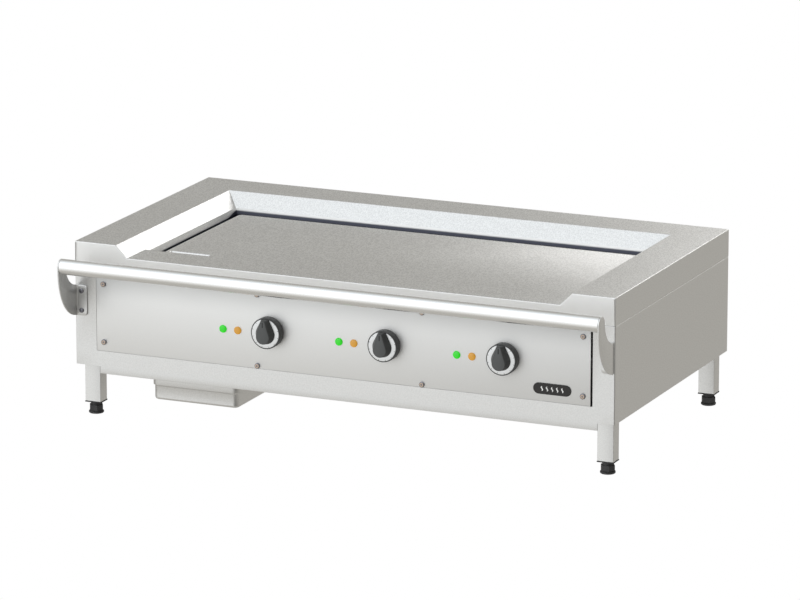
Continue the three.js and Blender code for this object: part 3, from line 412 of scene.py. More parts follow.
def knob_plastic(finish):
    """Black moulding whose front face is painted greyer than its walls, a painted highlight where the light
    falls on it.
    """
    made = plastic((0.032, 0.033, 0.033), (0.04, 0.041, 0.041), 0.45)(finish)
    # Painted highlight: faces turned to the front take a lighter grey.
    front = finish.facing("Y").between(-0.9, -0.99)
    made["Base Color"] = finish.blend(front, made["Base Color"], (0.07, 0.073, 0.073))
    return made


def plastic(colour, worn, roughness, coat=0.0):
    """Moulded plastic: fine spark texture and slightly rubbed, lighter patches."""
    def build(finish):
        spark = finish.noise(1400, 1.0)
        rub = finish.noise(40, 3.0).between(0.45, 0.75)
        return {
            "Base Color": finish.blend(rub, colour, worn),
            "Roughness": roughness + (spark - 0.5) * 0.12,
            "Coat Weight": coat,
            "Coat Roughness": 0.15,
            "Normal": finish.bump(spark, 0.12, 0.0002),
        }
    return build


def lens(colour, glow):
    """Coloured pilot-lamp lens: clear gloss over a body that is lit a little from behind."""
    def build(finish):
        facet = finish.noise(260, 1.0)
        return {
            "Base Color": finish.blend(facet, colour, tuple(c * 0.82 for c in colour)),
            "Roughness": 0.22 + (facet - 0.5) * 0.08,
            "Coat Weight": 0.6,
            "Coat Roughness": 0.05,
            "Emission Color": finish.blend(facet, glow, tuple(c * 0.9 for c in glow)),
            "Emission Strength": 0.55,
            "Normal": finish.bump(facet, 0.1, 0.0003),
        }
    return build


def grained(colour, dark, roughness, scale):
    """Plain or plated metal with an even grain."""
    def build(finish):
        grain = finish.noise(scale, 3.0, 0.6)
        return {
            "Base Color": finish.blend(grain, dark, colour),
            "Metallic": 1.0,
            "Roughness": roughness + (grain - 0.5) * 0.15,
            "Normal": finish.bump(grain, 0.15, 0.0003),
        }
    return build


def mineral_wool(finish):
    """Pressed fibre: tangled strands in two sizes."""
    strands = finish.noise(420, 6.0, 0.8, (1, 1, 6))
    tufts = finish.noise(60, 4.0)
    return {
        "Base Color": finish.blend(strands * tufts * 2, (0.42, 0.36, 0.24), (0.86, 0.82, 0.7)),
        "Roughness": 0.95,
        "Normal": finish.bump(strands + tufts, 0.8, 0.002),
    }


def oxidised(finish):
    """Element sheath: dark oxide with blue and straw heat tints along its length."""
    heat = finish.noise(18, 2.0)
    scale = finish.noise(500, 3.0)
    return {
        "Base Color": finish.blend(heat.between(0.35, 0.7), (0.06, 0.055, 0.05), (0.16, 0.12, 0.09)),
        "Metallic": 0.9,
        "Roughness": 0.5 + scale * 0.25,
        "Normal": finish.bump(scale, 0.4, 0.0004),
    }


STEEL = (0.88, 0.88, 0.875)
STEEL_DARK = (0.7, 0.7, 0.695)
# Roughness, depth of the grain and strength of the flecks.
SATIN = [0.42, 0.7, 9]

satin = material("satin steel", steel(STEEL, STEEL_DARK, *SATIN))
trough = material("gutter steel with painted trough shade", gutter_steel)
front_sheet = material("satin steel front", panel_steel)
rail_polish = steel((0.93, 0.93, 0.93), (0.88, 0.88, 0.875), 0.24, 0.015, 0.3)
rail_steel = material("polished rail steel", rail_polish)
fastener = material("dark plated screws", grained((0.34, 0.34, 0.37), (0.2, 0.2, 0.23), 0.42, 900))
# The screws' face and recess take a lighter, warmer colour than the rest of the head.
screw_face = material("lighter screw face", grained((0.72, 0.58, 0.47), (0.5, 0.4, 0.33), 0.45, 900))
bakelite = material("black moulding", knob_plastic)
foot_black = material("black rubber and nylon", plastic((0.022, 0.022, 0.023), (0.035, 0.035, 0.036), 0.6))
dial = material("silver dial", grained((0.83, 0.84, 0.85), (0.72, 0.73, 0.74), 0.3, 500))
ink = material("black ink", plastic((0.004, 0.004, 0.004), (0.008, 0.008, 0.008), 0.7))
green = material("green lens", lens((0.01, 0.5, 0.005), (0.01, 0.5, 0.005)))
amber = material("amber lens", lens((0.5, 0.24, 0.02), (0.42, 0.2, 0.015)))
badge_black = material("badge lacquer", plastic((0.012, 0.011, 0.01), (0.016, 0.014, 0.013), 0.5))
badge_print = material("badge print", plastic((0.7, 0.7, 0.68), (0.8, 0.8, 0.78), 0.4))
zinc = material("zinc sheet", grained((0.66, 0.68, 0.7), (0.5, 0.52, 0.55), 0.42, 60))
steatite = material("steatite", plastic((0.8, 0.76, 0.66), (0.86, 0.83, 0.74), 0.75))
wool = material("mineral wool", mineral_wool)
sheath = material("oxidised sheath", oxidised)


# ---------------------------------------------------------------- top and plate

def rim_profile():
    """Inset and height from the foot of the skirt over the rim and down the slope to the cooking level."""
    line = [(0, SEAM), (0, HEIGHT), (RIM, HEIGHT), (RIM + BASIN, COOKING)]
    return bend(line, [TOP_EDGE, SLOPE_BEND])


def trough_profile():
    """Inset and height from the cooking level down the last of the slope and the gutter's wall."""
    knee = SIDE - WALL_X
    dip = knee - RIM - BASIN
    foot, bottom = knee + LEAN_IN, COOKING - dip - LEAN_DOWN
    line = [(RIM + BASIN, COOKING), (knee, COOKING - dip), (foot, bottom), (foot, GUTTER_FLOOR)]
    return bend(line, [1, 1])


def around(profile, corner, steps=4):
    """Carries a profile of (inset, height) along the left side, the back and the right side.

    Each point keeps its inset from the outline; at the two rear corners it turns on an arc whose
    radius is the corner's radius less the inset, or on the mitre where none is left.
    """
    inset, z = profile[:, 0], profile[:, 1]
    pull = np.maximum(inset, corner)
    radius = np.maximum(corner - inset, 0)
    columns = [np.stack([-SIDE + inset, np.full_like(inset, LAND_END)], 1)]
    for sign, turn in ((-1, (180, 90)), (1, (90, 0))):
        centre = np.stack([sign * (SIDE - pull), BACK - pull], 1)
        for angle in np.radians(np.linspace(*turn, steps)):
            columns.append(centre + radius[:, None] * [math.cos(angle), math.sin(angle)])
    columns.append(np.stack([SIDE - inset, np.full_like(inset, LAND_END)], 1))
    plan = np.stack(columns, 1)
    return np.dstack([plan, np.repeat(z[:, None], plan.shape[1], 1)])


def front_strip():
    """The section across the whole width, carried from the land's end to the front and rolled down there.

    Rows run over y. On the last rows the section moves in along its mitres by the roll's radius times
    one less the cosine, while y follows the sine; the very last row drops to the seam.
    """
    left = rim_profile() - [SIDE, 0]
    section = np.vstack([left, left[::-1] * [-1, 1]])
    inward = offset_line(section, -1) - section
    rows = [np.insert(section, 1, LAND_END, axis=1), np.insert(section, 1, FRONT + TOP_EDGE, axis=1)]
    for angle in np.radians(np.linspace(15, 90, 6)):
        line = section + inward * TOP_EDGE * (1 - math.cos(angle))
        rows.append(np.insert(line, 1, FRONT + TOP_EDGE * (1 - math.sin(angle)), axis=1))
    foot = rows[-1].copy()
    foot[:, 2] = SEAM
    rows[-1][:, 2] = np.maximum(rows[-1][:, 2], SEAM)
    rows.append(foot)
    return np.array(rows)


def make_top():
    """Rim, slopes, gutter walls and front land as one folded skin."""
    wall = trough_profile()
    shape = Shape().grid(around(np.vstack([rim_profile(), wall[1:]]), TOP_EDGE)).grid(front_strip())
    shape.grid(np.array([[(x, LAND_END, z) for x in (-SIDE + inset, SIDE - inset)] for inset, z in wall]))
    nodes = ("top_left", "top_right", "top_back", "front_land")
    shape.make("top_skin", "cabinet", "satin_steel", trough, nodes, thick=2, facing=(0, 0, 1))


def make_gutter_floor():
    """Trough floor round the opening under the plate, with its upturned lip and the drain hole."""
    edge, y0, y1, lip = PLATE_OPENING.values()
    drain_x = PLATE_LEFT + NOTCH["start"] + NOTCH["width"] / 2
    drain_y = LAND_END + DRAIN["setback"]
    half_x, half_y = DRAIN["width"] / 2, DRAIN["depth"] / 2
    xs = np.sort([-WALL_X, -edge - lip, drain_x - half_x, drain_x + half_x, edge + lip, WALL_X])
    ys = np.array([LAND_END, drain_y, drain_y + DRAIN["depth"], y0 - lip, y1 + lip, WALL_Y])
    x, y = np.meshgrid(xs, ys, indexing="ij")
    middle_x = (xs[:-1] + xs[1:]) / 2
    middle_y = (ys[:-1] + ys[1:]) / 2
    opening = (np.abs(middle_x)[:, None] < edge) & (middle_y > y0)[None, :] & (middle_y < y1)[None, :]
    hole_x = np.abs(middle_x - drain_x) < half_x
    hole_y = np.abs(middle_y - drain_y - half_y) < half_y
    hole = hole_x[:, None] & hole_y[None, :]
    shape = Shape().grid(np.dstack([x, y, np.full_like(x, GUTTER_FLOOR)]), keep=~(opening | hole))
    shape.make("gutter_tray", "cabinet", "satin_steel", trough, ("gutter_floor",), thick=2, facing=(0, 0, 1))
    rings = [(lip, GUTTER_FLOOR - 1), (lip, LIP_TOP - 0.5), (lip - 0.5, LIP_TOP), (0.5, LIP_TOP),
             (0, LIP_TOP - 0.5), (0, GUTTER_FLOOR - 1)]
    loops = []
    for grow, z in rings:
        plan = rounded_rectangle(-edge - grow, edge + grow, y0 - grow, y1 + grow, 0.5 + grow, 3)
        loops.append(at_height(plan, z))
    lips = Shape().grid(np.array(loops), wrap=True, ring=True)
    lips.make("plate_lips", "cabinet", "satin_steel", trough)


def plate_loop(turn):
    """One level of the plate's edge, at the given turn of the roll from upright (0) to level (1).

    The left and back edges roll by PLATE_ROLL, the right one and the notch's rim by less. Each edge
    stands in by its roll times one less the cosine, and below the top by its roll less the sine's share.
    """
    angle = turn * math.pi / 2
    left, right = PLATE_LEFT, PLATE_RIGHT
    fall = 1 - math.cos(angle)
    inset, small, rim = PLATE_ROLL * fall, PLATE_ROLL_RIGHT * fall, NOTCH_ROLL * fall
    x0 = left + NOTCH["start"]
    x1 = x0 + NOTCH["width"]
    curve = max(PLATE_CORNER - inset, 1.0)
    outer = [(x1 + rim, PLATE_FRONT), (right - small, PLATE_FRONT), (right - small, PLATE_BACK - inset),
             (left + inset, PLATE_BACK - inset), (left + inset, PLATE_FRONT), (x0 - rim, PLATE_FRONT)]
    outer = bend(outer, [0, curve, curve, 0], 8)
    back = LAND_END + NOTCH["depth"] + rim
    notch = bend([(x0 - rim, PLATE_FRONT), (x0 - rim, back), (x1 + rim, back), (x1 + rim, PLATE_FRONT)],
                 [2 + rim, 2 + rim], 5)[1:-1]
    low = COOKING - PLATE_ROLL * (1 - math.sin(angle))
    low_rim = COOKING - NOTCH_ROLL * (1 - math.sin(angle))
    outer = at_height(outer, low)
    outer[[0, -1], 2] = low_rim
    return np.vstack([outer, at_height(notch, low_rim)])


def make_plate():
    """Thick plate whose left and back edges roll over in a quarter round."""
    foot = plate_loop(0)
    foot[:, 2] = PLATE_UNDER
    loops = [foot] + [plate_loop(turn) for turn in np.linspace(0, 1, 11)]
    Shape().skin(loops).make("cooking_plate", "cabinet", "griddle_steel", satin, ("griddle_plate",))


# ---------------------------------------------------------------- cabinet

def make_cabinet():
    """Folded sheet: sides, front with the panel's opening, and a flange along the top.

    The profile of (inset, height) is carried round the plan with corner radii less the inset;
    quads inside the opening, and those of the open back below the flange, are left out.
    """
    half, z0, z1 = PANEL_OPENING.values()
    rise = bend([(0, BODY_BOTTOM), (0, SHELL_TOP), (TOP_FLANGE, SHELL_TOP)], [SHOULDER], 5)
    rise = np.vstack([rise[:1], [[0, z0], [0, z1]], rise[1:]])
    steps = 5
    rows = []
    for inset, z in rise:
        radius = max(CABINET_CORNER - inset, 0.01)
        plan = rounded_rectangle(-SIDE + inset, SIDE - inset, FRONT + inset, BACK - inset, radius, steps)
        plan = np.vstack([plan, [[-half, FRONT + inset], [half, FRONT + inset]]])
        rows.append(at_height(plan, z))
    points = np.array(rows)
    columns = points.shape[1]
    keep = np.ones((len(rows) - 1, columns), bool)
    front = columns - 2
    keep[1, front] = False
    back = 2 * (steps + 1) - 1
    flange = len(rise) - 2
    keep[:flange, back] = False
    shape = Shape().grid(points, wrap=True, keep=keep)
    shape.make("cabinet_skin", "cabinet", "satin_steel", satin, ("cabinet_shell",), SHEET, facing=(0, 0, 1))
    strips = Shape()
    overlap = 22
    for low, high in ((z0 - overlap, z0 + overlap), (z1 - overlap, SHELL_TOP - SHEET - 0.2)):
        strips.box((-half + 3, FRONT + SHEET, low), (half - 7.5, FRONT + 2 * SHEET, high), 0.5)
    strips.make("panel_backing", "cabinet", "satin_steel", satin)


def make_panel():
    """Flat control panel with softened edges."""
    low, high = span("control_panel")
    panel = Shape().box(low, high, 0.5)
    panel.make("front_panel", "cabinet", "satin_steel", front_sheet, ("control_panel",))


def make_plain_sheets():
    """Carried-over parts keep their shape and get their finish."""
    kept = {
        satin: ["base_plate", "rear_cover", "drain_chute", "pan_cradle"],
        zinc: ["heat_shield"],
        wool: ["insulation_slab"],
        sheath: [f"heating_element_{i}" for i in (1, 2, 3)],
        steatite: [f"thermostat_{i}" for i in (1, 2, 3)],
    }
    for look, nodes in kept.items():
        for node in nodes:
            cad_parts[node].data.materials.clear()
            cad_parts[node].data.materials.append(look)


# ---------------------------------------------------------------- controls

def middle(node):
    """Centre of a node in plan and height, on the plane of the cabinet's front."""
    low, high = span(node)
    return np.array([(low[0] + high[0]) / 2, FRONT, (low[2] + high[2]) / 2])


def pear(radius, centre, tip, tip_half, steps=28, tip_steps=4):
    """Outline of the grip: a round heel about centre, two tangents, and a rounded pointer at the top."""
    lean = math.asin((radius - tip_half) / (tip - centre))
    heel = np.linspace(math.pi - lean, 2 * math.pi + lean, steps)
    round_tip = min(2.2, tip_half * 0.6)
    points = np.stack([radius * np.cos(heel), centre + radius * np.sin(heel)], 1)
    tips = []
    for sign, turn in ((1, (0, 90)), (-1, (90, 180))):
        angle = np.radians(np.linspace(*turn, tip_steps))
        tips.append(np.stack([sign * (tip_half - round_tip) + round_tip * np.cos(angle),
                              tip - round_tip + round_tip * np.sin(angle)], 1))
    return np.vstack([points, *tips])


def make_knob(number):
    """Skirt turned from a profile, a pear-shaped grip skinned between outlines, a dial and its marks."""
    node = f"knob_{number}"
    centre = middle(node)
    radius = (span(node)[1] - span(node)[0])[0] / 2
    seat = KNOB_FACE - 0.5
    skirt = bend([(0, 1), (radius, 1), (radius, KNOB_FACE), (radius - 1.9, KNOB_FACE), (radius - 2.2, seat),
                  (0, seat)], [0.8, 1.4, 0, 0])
    foot, top = np.array(GRIP_FOOT), np.array(GRIP_FACE)
    edge_start = KNOB_GRIP - GRIP_EDGE
    loops = []
    for rise in (0, 2, 4, 6.5, 9, 11.5, edge_start, KNOB_GRIP - 0.4, KNOB_GRIP):
        share = min(rise / edge_start, 1) ** 0.85
        heel, drop, tip, half = foot + (top - foot) * share
        edge = GRIP_EDGE - math.sqrt(max(GRIP_EDGE ** 2 - max(rise - edge_start, 0) ** 2, 0))
        flat = pear(heel - edge, drop, tip - edge, half - edge * 0.7)
        out = np.full(len(flat), -(KNOB_FACE + rise - (0.8 if rise == 0 else 0)))
        loops.append(np.stack([flat[:, 0], out, flat[:, 1]], 1) + centre)
    shape = Shape().turned(skirt, centre, sides=96).skin(loops)
    shape.make(f"knob_moulding_{number}", node, "black_plastic", bakelite, (node,))
    under, over = KNOB_FACE - 0.6, KNOB_FACE + 0.1
    ring = bend([(DIAL_INNER, under), (DIAL_INNER, over), (DIAL_OUTER, over), (DIAL_OUTER, under),
                 (DIAL_INNER, under)], [0.3, 0.3, 0])
    Shape().turned(ring, centre, sides=96).make(f"dial_ring_{number}", node, "black_plastic", dial)
    marks = Shape()
    for angle in np.radians(np.arange(135, 406, 30)):
        place_mark(marks, centre, angle, 27.4, 30.0, 0.35, KNOB_FACE + 0.08, KNOB_FACE + 0.2)
    face = KNOB_FACE + KNOB_GRIP
    place_mark(marks, centre, math.pi / 2, 15.5, 26.5, 1, face - 0.2, face + 0.06)
    marks.make(f"dial_marks_{number}", node, "black_plastic", ink)


def place_mark(shape, centre, angle, inner, outer, half, low, high):
    """A thin bar along a radius of the dial, between two radii and two depths."""
    along = np.array([math.cos(angle), 0, math.sin(angle)])
    across = np.array([-math.sin(angle), 0, math.cos(angle)])
    loops = []
    for out, shrink in ((low, 0), (high - 0.04, 0), (high, 0.06)):
        corners = [(inner, -half), (outer, -half), (outer, half), (inner, half)]
        loops.append([centre + along * (r - shrink * np.sign(r - (inner + outer) / 2))
                      + across * (w - shrink * np.sign(w)) + [0, -out, 0] for r, w in corners])
    shape.skin(loops)


def make_lamp(colour, look, number):
    """Low domed lens: radius falls as a cosine of the height."""
    node = f"lamp_{colour}_{number}"
    angle = np.linspace(0, math.pi / 2, 9)
    dome = [(0, -8), (4.7, -8), (4.7, 0.1), (8.25, 0.1), (8.25, 0.7)]
    dome += [(8.1 * math.cos(a), 0.9 + 2.6 * math.sin(a)) for a in angle]
    Shape().turned(dome, middle(node), sides=40).make(
        f"{node}_lens", "cabinet", f"{colour}_lens", look, (node,))


def make_screw(node):
    """Pan-head screw with a six-lobed recess: the recess wall's radius waves six times round."""
    centre = middle(node)
    head = [(0, -9.5), (2.2, -9.5), (2.2, 0.2), (5.75, 0.2), (5.75, 1.9)]
    Shape().turned(head + [(5.3, 2.6), (4.5, 2.95), (4.3, 2.7), (0, 2.7)], centre, sides=36).make(
        f"{node}_head", "cabinet", "dark_fasteners", fastener, (node,))
    face = Shape().turned([(4.35, 2.65), (4.3, 3.0), (2.1, 3.05)], centre, sides=36)
    face.turned([(2.1, 3.05), (1.9, 2.9), (1.8, 1.4), (0, 1.2)], centre, sides=36, lobes=6, depth=0.16)
    face.turned([(0, 1.1), (4.35, 2.65)], centre, sides=36)
    face.make(f"{node}_face", "cabinet", "dark_fasteners", screw_face)


def make_bolt(node):
    """Dome-head bolt with a hexagonal socket."""
    centre = middle(node)
    seat = BRACKET_SHEET + 0.6
    head = [(0, seat - 13), (2.7, seat - 13), (2.7, seat), (5.25, seat), (5.25, seat + 1)]
    head += [(5.25 * math.cos(a), seat + 1 + 2.4 * math.sin(a)) for a in np.linspace(0.2, 1.05, 6)]
    head += [(1.9, seat + 3.2), (1.8, seat + 1.6), (0, seat + 1.4)]
    Shape().turned(head, centre, sides=36).make(
        f"{node}_head", "cabinet", "dark_fasteners", fastener, (node,))


def make_badge():
    """Stadium plate with a fine raised edge and a plain mark: five upright wavy bars."""
    low, high = span("badge")
    middle_x, middle_z = (low[0] + high[0]) / 2, (low[2] + high[2]) / 2
    half_x, half_z = (high[0] - low[0]) / 2, (high[2] - low[2]) / 2
    levels = [(0, 0.3), (0, 1.1), (0.5, 1.3), (1.6, 1.3), (1.9, 1.1)]
    loops = []
    for inset, out in levels:
        plan = rounded_rectangle(-half_x + inset, half_x - inset, -half_z + inset, half_z - inset,
                                 half_z - inset - 0.05, 10)
        loops.append(np.insert(plan + [middle_x, middle_z], 1, FRONT - out, axis=1))
    Shape().skin(loops).make("badge_plate", "cabinet", "badge_black", badge_black, ("badge",))
    mark = Shape()
    t = np.linspace(0, 1, 17)
    for offset in (-22, -11, 0, 11, 22):
        x = middle_x + offset + 1.3 * np.sin(2 * math.pi * t)
        z = middle_z + (t - 0.5) * 10
        wide = 1.5 * np.sin(math.pi * (0.12 + 0.76 * t))
        loops = [np.stack([[x[i] - w, FRONT - 1.05, z[i]], [x[i] + w, FRONT - 1.05, z[i]],
                           [x[i] + w, FRONT - 1.3, z[i]], [x[i] - w, FRONT - 1.3, z[i]]])
                 for i, w in enumerate(wide)]
        mark.skin(loops)
    mark.make("badge_mark", "cabinet", "badge_black", badge_print)


# ---------------------------------------------------------------- hand rail

def make_rail():
    """Round tube between the brackets."""
    low, high = span("hand_rail")
    centre = (low + high) / 2
    radius = (high[2] - low[2]) / 2
    inner = radius - RAIL_WALL
    x0, x1 = low[0] - centre[0], high[0] - centre[0]
    tube = [(inner, x0), (radius - 0.3, x0), (radius, x0 + 0.3), (radius, x1 - 0.3), (radius - 0.3, x1),
            (inner, x1), (inner, x0)]
    Shape().turned(tube, centre, "along", sides=128).make(
        "rail_tube", "cabinet", "satin_steel", rail_steel, ("hand_rail",))


def bezier(p0, p1, p2, p3, steps=14):
    """Points of a cubic curve: the four controls weighed by the cubic polynomials of t."""
    t = np.linspace(0, 1, steps)[:, None]
    p0, p1, p2, p3 = (np.array(p, float) for p in (p0, p1, p2, p3))
    return (1 - t) ** 3 * p0 + 3 * t * (1 - t) ** 2 * p1 + 3 * t * t * (1 - t) * p2 + t ** 3 * p3


def make_bracket(side, sign):
    """Hooked side plate with softened edges and the flange folded from it onto the front."""
    low, high = span(f"rail_bracket_{side}")
    rail_low, rail_high = span("hand_rail")
    radius = (rail_high[2] - rail_low[2]) / 2
    axis = (rail_low + rail_high) / 2
    foot, heel = low[2], low[2] + BRACKET_HEEL
    y_fold = FRONT - 6
    inner = bezier((y_fold, heel), (FRONT - 33, heel + 4), (axis[1] + radius + 1, heel + 26),
                   (axis[1] + radius, axis[2]))
    angle = np.linspace(0, math.pi, 25)
    head = np.stack([axis[1] + radius * np.cos(angle), axis[2] + radius * np.sin(angle)], 1)
    outer = bezier((axis[1] - radius, axis[2]), (axis[1] - radius, HEIGHT - 110), (FRONT - 45, HEIGHT - 150),
                   (y_fold, foot))
    outline = np.vstack([inner, head[1:-1], outer])
    x_out = sign * (abs(low[0]) if sign < 0 else high[0])
    soft = 0.5
    loops = []
    for depth, inset in ((0, soft), (soft * 0.3, soft * 0.3), (soft, 0), (BRACKET_SHEET - soft, 0),
                         (BRACKET_SHEET - soft * 0.3, soft * 0.3), (BRACKET_SHEET, soft)):
        closed = np.vstack([outline[-1:], outline, outline[:1]])
        line = offset_line(closed, inset)[1:-1]
        loops.append(np.insert(line, 0, x_out - sign * depth, axis=1))
    shape = Shape().skin(loops)
    # The flange: a strip from the plate round the bend and along the front, its outer corners rounded.
    # At a distance t into the corner, the strip's ends draw in by its radius less the circle's height.
    strip = bend([(0, y_fold - FRONT), (0, -FIT - 0.1), (BRACKET_FLANGE, -FIT - 0.1)], [5.5], 6)
    reach = np.concatenate([[0], np.cumsum(np.linalg.norm(np.diff(strip, axis=0), axis=1))])
    corner = reach[-1] - FLANGE_CORNER
    ends = np.concatenate([reach[:-1], corner + FLANGE_CORNER * np.sin(np.radians(np.linspace(0, 90, 7)))])
    strip = np.stack([np.interp(ends, reach, strip[:, 0]), np.interp(ends, reach, strip[:, 1])], 1)
    into = np.maximum(ends - corner, 0)
    short = FLANGE_CORNER - np.sqrt(np.maximum(FLANGE_CORNER ** 2 - into ** 2, 0))
    order = np.argsort(ends)
    strip, short = strip[order], short[order]
    flange = Shape()
    v = np.linspace(0, 1, 9)[:, None]
    z = foot + short + v * (heel - 1 - foot - 2 * short)
    x = np.broadcast_to(x_out - sign * strip[:, 0], z.shape)
    y = np.broadcast_to(FRONT + strip[:, 1], z.shape)
    flange.grid(np.dstack([x, y, z]))
    name = f"rail_bracket_{side}"
    shape.make(f"{name}_plate", "cabinet", "satin_steel", satin, (name,))
    flange.make(f"{name}_flange", "cabinet", "satin_steel", satin, thick=BRACKET_SHEET, facing=(0, 1, 0))


# ---------------------------------------------------------------- stand and pan

ENDS = ("front_left", "front_right", "rear_left", "rear_right")


def box_tube(shape, low, high, along, wall=2, radius=0.7):
    """Square tube: an outer and an inner rounded outline, joined at both ends."""
    axes = [i for i in range(3) if i != along]
    a, b = axes
    loops = []
    for grow, place in ((0, low[along]), (0, high[along]), (wall, high[along]), (wall, low[along])):
        plan = rounded_rectangle(low[a] + grow, high[a] - grow, low[b] + grow, high[b] - grow,
                                 max(radius - grow, 0.3), 3)
        loop = np.zeros((len(plan), 3))
        loop[:, a], loop[:, b], loop[:, along] = plan[:, 0], plan[:, 1], place
        loops.append(loop)
    return shape.grid(np.array(loops), wrap=True, ring=True)


def make_stand():
    """Legs and crossbar as tubes, with the inserts and levelling feet below."""
    for end in ENDS:
        low, high = span(f"leg_{end}")
        box_tube(Shape(), low, high, 2).make(
            f"leg_tube_{end}", "cabinet", "satin_steel", satin, (f"leg_{end}",))
        make_foot(end)
    low, high = span("crossbar")
    box_tube(Shape(), low, high, 0).make("crossbar_tube", "cabinet", "satin_steel", satin, ("crossbar",))


def make_foot(end):
    """Insert: a thin rounded flange and a plug. Foot: turned base, hexagon, neck and stud."""
    low, high = span(f"foot_insert_{end}")
    centre = (low + high) / 2
    insert = Shape().box(low, (high[0], high[1], low[2] + 2.5), 0.7)
    insert.turned([(4.3, low[2] + 1), (13, low[2] + 1), (13, high[2] - 1), (12, high[2]), (4.3, high[2]),
                   (4.3, low[2] + 1)], (centre[0], centre[1], 0), "up", 24)
    insert.make(f"insert_cap_{end}", "cabinet", "black_plastic", foot_black, (f"foot_insert_{end}",))
    low, high = span(f"levelling_foot_{end}")
    radius = (high[0] - low[0]) / 2
    base = (centre[0], centre[1], 0)
    profile = bend([(0, 0), (radius - 1.2, 0), (radius, 1.2), (radius, 4), (radius - 1, 5), (0, 5)],
                   [0.8, 0.6, 0.6, 0.6])
    foot = Shape().turned(profile, base, "up", 48)
    hexagon = [(0, 4.8), (14.2, 4.8), (15.25, 5.6), (15.25, 17.2), (14.0, 18.3), (0, 18.3)]
    foot.turned(hexagon, base, "up", 6)
    neck = bend([(0, 18), (11.5, 18), (11.5, 24.2), (4, 24.2), (4, high[2] - 1), (3, high[2]), (0, high[2])],
                [0, 0.5, 0, 0, 0])
    foot.turned(neck, base, "up", 32)
    foot.make(f"levelling_screw_{end}", f"foot_{end}", "black_plastic", foot_black,
              (f"levelling_foot_{end}",))


def make_pan():
    """Drawn grease pan: rounded outlines skinned from the outer floor up over the flange and down inside."""
    low, high = span("grease_pan")
    flange, wall, step = PAN_FLANGE, PAN_SHEET, PAN_STEP
    half = (high - low)[:2] / 2 - flange - step
    centre = (low + high)[:2] / 2
    bottom, top, collar = low[2], high[2], PAN_COLLAR
    levels = [(-PAN_BEND, bottom)]
    for a in np.linspace(0.2, math.pi / 2, 8):
        levels.append((PAN_BEND * (math.sin(a) - 1), bottom + PAN_BEND * (1 - math.cos(a))))
    levels += [(0, collar - 2), (0.5, collar - 1.2), (step - 0.4, collar + 0.6), (step, collar + 1.4),
               (step, top - wall - 1), (step + 1, top - wall), (step + flange - 0.4, top - wall),
               (step + flange, top - wall / 2), (step + flange - 0.4, top), (step, top),
               (step - wall, top - 1.5), (step - wall, collar + 2), (-wall, collar - 1)]
    inner = PAN_BEND - 1
    for a in np.linspace(0, math.pi / 2, 8):
        levels.append((inner * (math.cos(a) - 1) - wall, bottom + wall + inner * (1 - math.sin(a))))
    loops = []
    for grow, z in levels:
        x, y = half + grow
        plan = rounded_rectangle(-x, x, -y, y, max(PAN_CORNER + grow, 0.5), 8) + centre
        loops.append(at_height(plan, z))
    Shape().skin(loops).make("drawn_pan", "grease_pan", "satin_steel", satin, ("grease_pan",))


def make_gland():
    """Cable gland: ribbed cap, hexagons on both sides of the rear cover, and the stem between them."""
    low, high = span("cable_gland")
    centre = np.array([(low[0] + high[0]) / 2, 0, (low[2] + high[2]) / 2])
    outer = span("rear_cover")[1][1]
    body = [(5, 23), (8.5, 23), (10.8, 19), (10.8, 11), (5, 11), (5, 23)]
    nut = [(5, 10.6), (11.9, 10.6), (11.9, 0.4), (5, 0.4), (5, 10.6)]
    stem = [(5, 0.6), (8.8, 0.6), (8.8, -13), (5, -13), (5, 0.6)]
    lock = [(8.9, -2.4), (11.9, -2.4), (11.9, -8), (8.9, -8), (8.9, -2.4)]
    shape = Shape()
    place = centre + [0, outer, 0]
    for line, sides, ribs in ((body, 48, 16), (nut, 6, 0), (stem, 36, 0), (lock, 6, 0)):
        backward = [(radius, -out) for radius, out in line]
        shape.turned(backward, place, sides=sides, lobes=ribs, depth=0.03)
    shape.make("gland_body", "cabinet", "black_plastic", foot_black, ("cable_gland",))


make_top()
make_gutter_floor()
make_plate()
make_cabinet()
make_panel()
make_plain_sheets()
for zone in (1, 2, 3):
    make_knob(zone)
    make_lamp("green", green, zone)
    make_lamp("amber", amber, zone)
for number in range(1, 9):
    make_screw(f"panel_screw_{number}")
for number in range(1, 5):
    make_bolt(f"bracket_bolt_{number}")
make_badge()
make_rail()
make_bracket("left", -1)
make_bracket("right", 1)
make_stand()
make_pan()
make_gland()


# ---------------------------------------------------------------- floor, lights, camera

def make_stage():
    """A pale floor, bright enough to read as white paper."""
    mesh = bpy.data.meshes.new("floor")
    corners = [(-30, -30), (30, -30), (30, 40), (-30, 40)]
    mesh.from_pydata([(x, y, -0.0005) for x, y in corners], [], [(0, 1, 2, 3)])
    floor = bpy.data.objects.new("floor", mesh)
    bpy.context.scene.collection.objects.link(floor)
    floor.visible_glossy = False
    paper = bpy.data.materials.new("pale paper")
    paper.use_nodes = True
    finish = Finish(paper.node_tree)
    glow = finish.node("ShaderNodeEmission", None, {"Color": (1, 1, 1, 1), "Strength": 1.0})
    finish.node("ShaderNodeOutputMaterial", None, {"Surface": glow.out()})
    mesh.materials.append(paper)


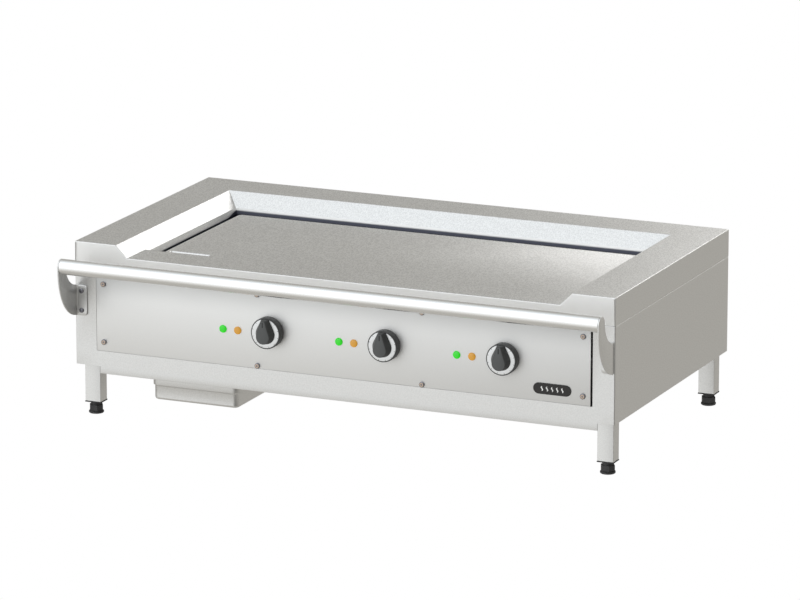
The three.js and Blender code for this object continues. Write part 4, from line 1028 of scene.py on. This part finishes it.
def make_studio():
    """Even white studio: brightness by direction, as soft boxes round the object, and white behind it."""
    world = bpy.data.worlds.new("studio")
    bpy.context.scene.world = world
    world.use_nodes = True
    finish = Finish(world.node_tree)
    direction = finish.node("ShaderNodeTexCoord").out("Generated")

    def towards(x, y, z, tightness):
        aim = Vector((x, y, z)).normalized()
        along = finish.node("ShaderNodeVectorMath", {"operation": "DOT_PRODUCT"}, {0: direction, 1: aim})
        return along.out("Value").math("MAXIMUM", 0) ** tightness

    softbox = towards(-0.38, -0.8, 0.46, 2)
    bounce = towards(-0.4, -0.1, -1, 2)
    sky = towards(-0.3, -0.15, 1, 4)
    flag = towards(0.55, -0.8, -0.2, 6)
    window = towards(0.25, 0.88, 0.4, 40)
    side = towards(0.39, 0.89, -0.25, 10)
    level = 0.41 + softbox * 1.08 + sky * 0.22 + bounce * 0.08 + side * 0.09
    level = level * (1 - flag * 0.9) + window * 1.6
    lamps = (softbox * 1.3 + window).math("ADD", 0, clamp=True)
    warm = finish.blend(lamps, (1.0, 0.968, 0.895), (0.97, 0.99, 1.0))
    cool = finish.blend(sky.math("ADD", 0, clamp=True), warm, (0.92, 0.965, 1.0))
    seen = finish.node("ShaderNodeLightPath").out("Is Camera Ray")
    lit = finish.node("ShaderNodeBackground", None, {"Color": cool, "Strength": level})
    white = finish.node("ShaderNodeBackground", None, {"Color": (1, 1, 1, 1), "Strength": 1.0})
    both = finish.node("ShaderNodeMixShader", None, {0: seen, 1: lit.out(), 2: white.out()})
    finish.node("ShaderNodeOutputWorld", None, {"Surface": both.out()})


def make_light(name, place, aim, size, power):
    light = bpy.data.lights.new(name, "AREA")
    light.shape = "RECTANGLE"
    light.size, light.size_y = size
    light.energy = power
    lamp = bpy.data.objects.new(name, light)
    bpy.context.scene.collection.objects.link(lamp)
    lamp.location = place
    lamp.rotation_euler = (Vector(aim) - Vector(place)).to_track_quat("-Z", "Y").to_euler()
    lamp.visible_camera = False


def make_camera():
    """Long lens from the front right, above the rim."""
    eye = Vector((4.6058, -10.4730, 3.1447))
    forward = Vector((-0.38942, 0.88766, -0.24586)).normalized()
    right = forward.cross(Vector((0, 0, 1))).normalized()
    up = right.cross(forward)
    data = bpy.data.cameras.new("camera")
    data.lens = 256.5
    data.sensor_width = 36
    data.clip_end = 200
    camera = bpy.data.objects.new("camera", data)
    bpy.context.scene.collection.objects.link(camera)
    camera.matrix_world = Matrix.Translation(eye) @ Matrix((right, up, -forward)).transposed().to_4x4()
    bpy.context.scene.camera = camera


make_stage()
make_studio()
make_light("back panel", (0.6, 2.2, 1.62), (0.6, 0, 0.4), (1.6, 0.7), 6)
make_camera()
bpy.context.scene.view_settings.view_transform = "Standard"
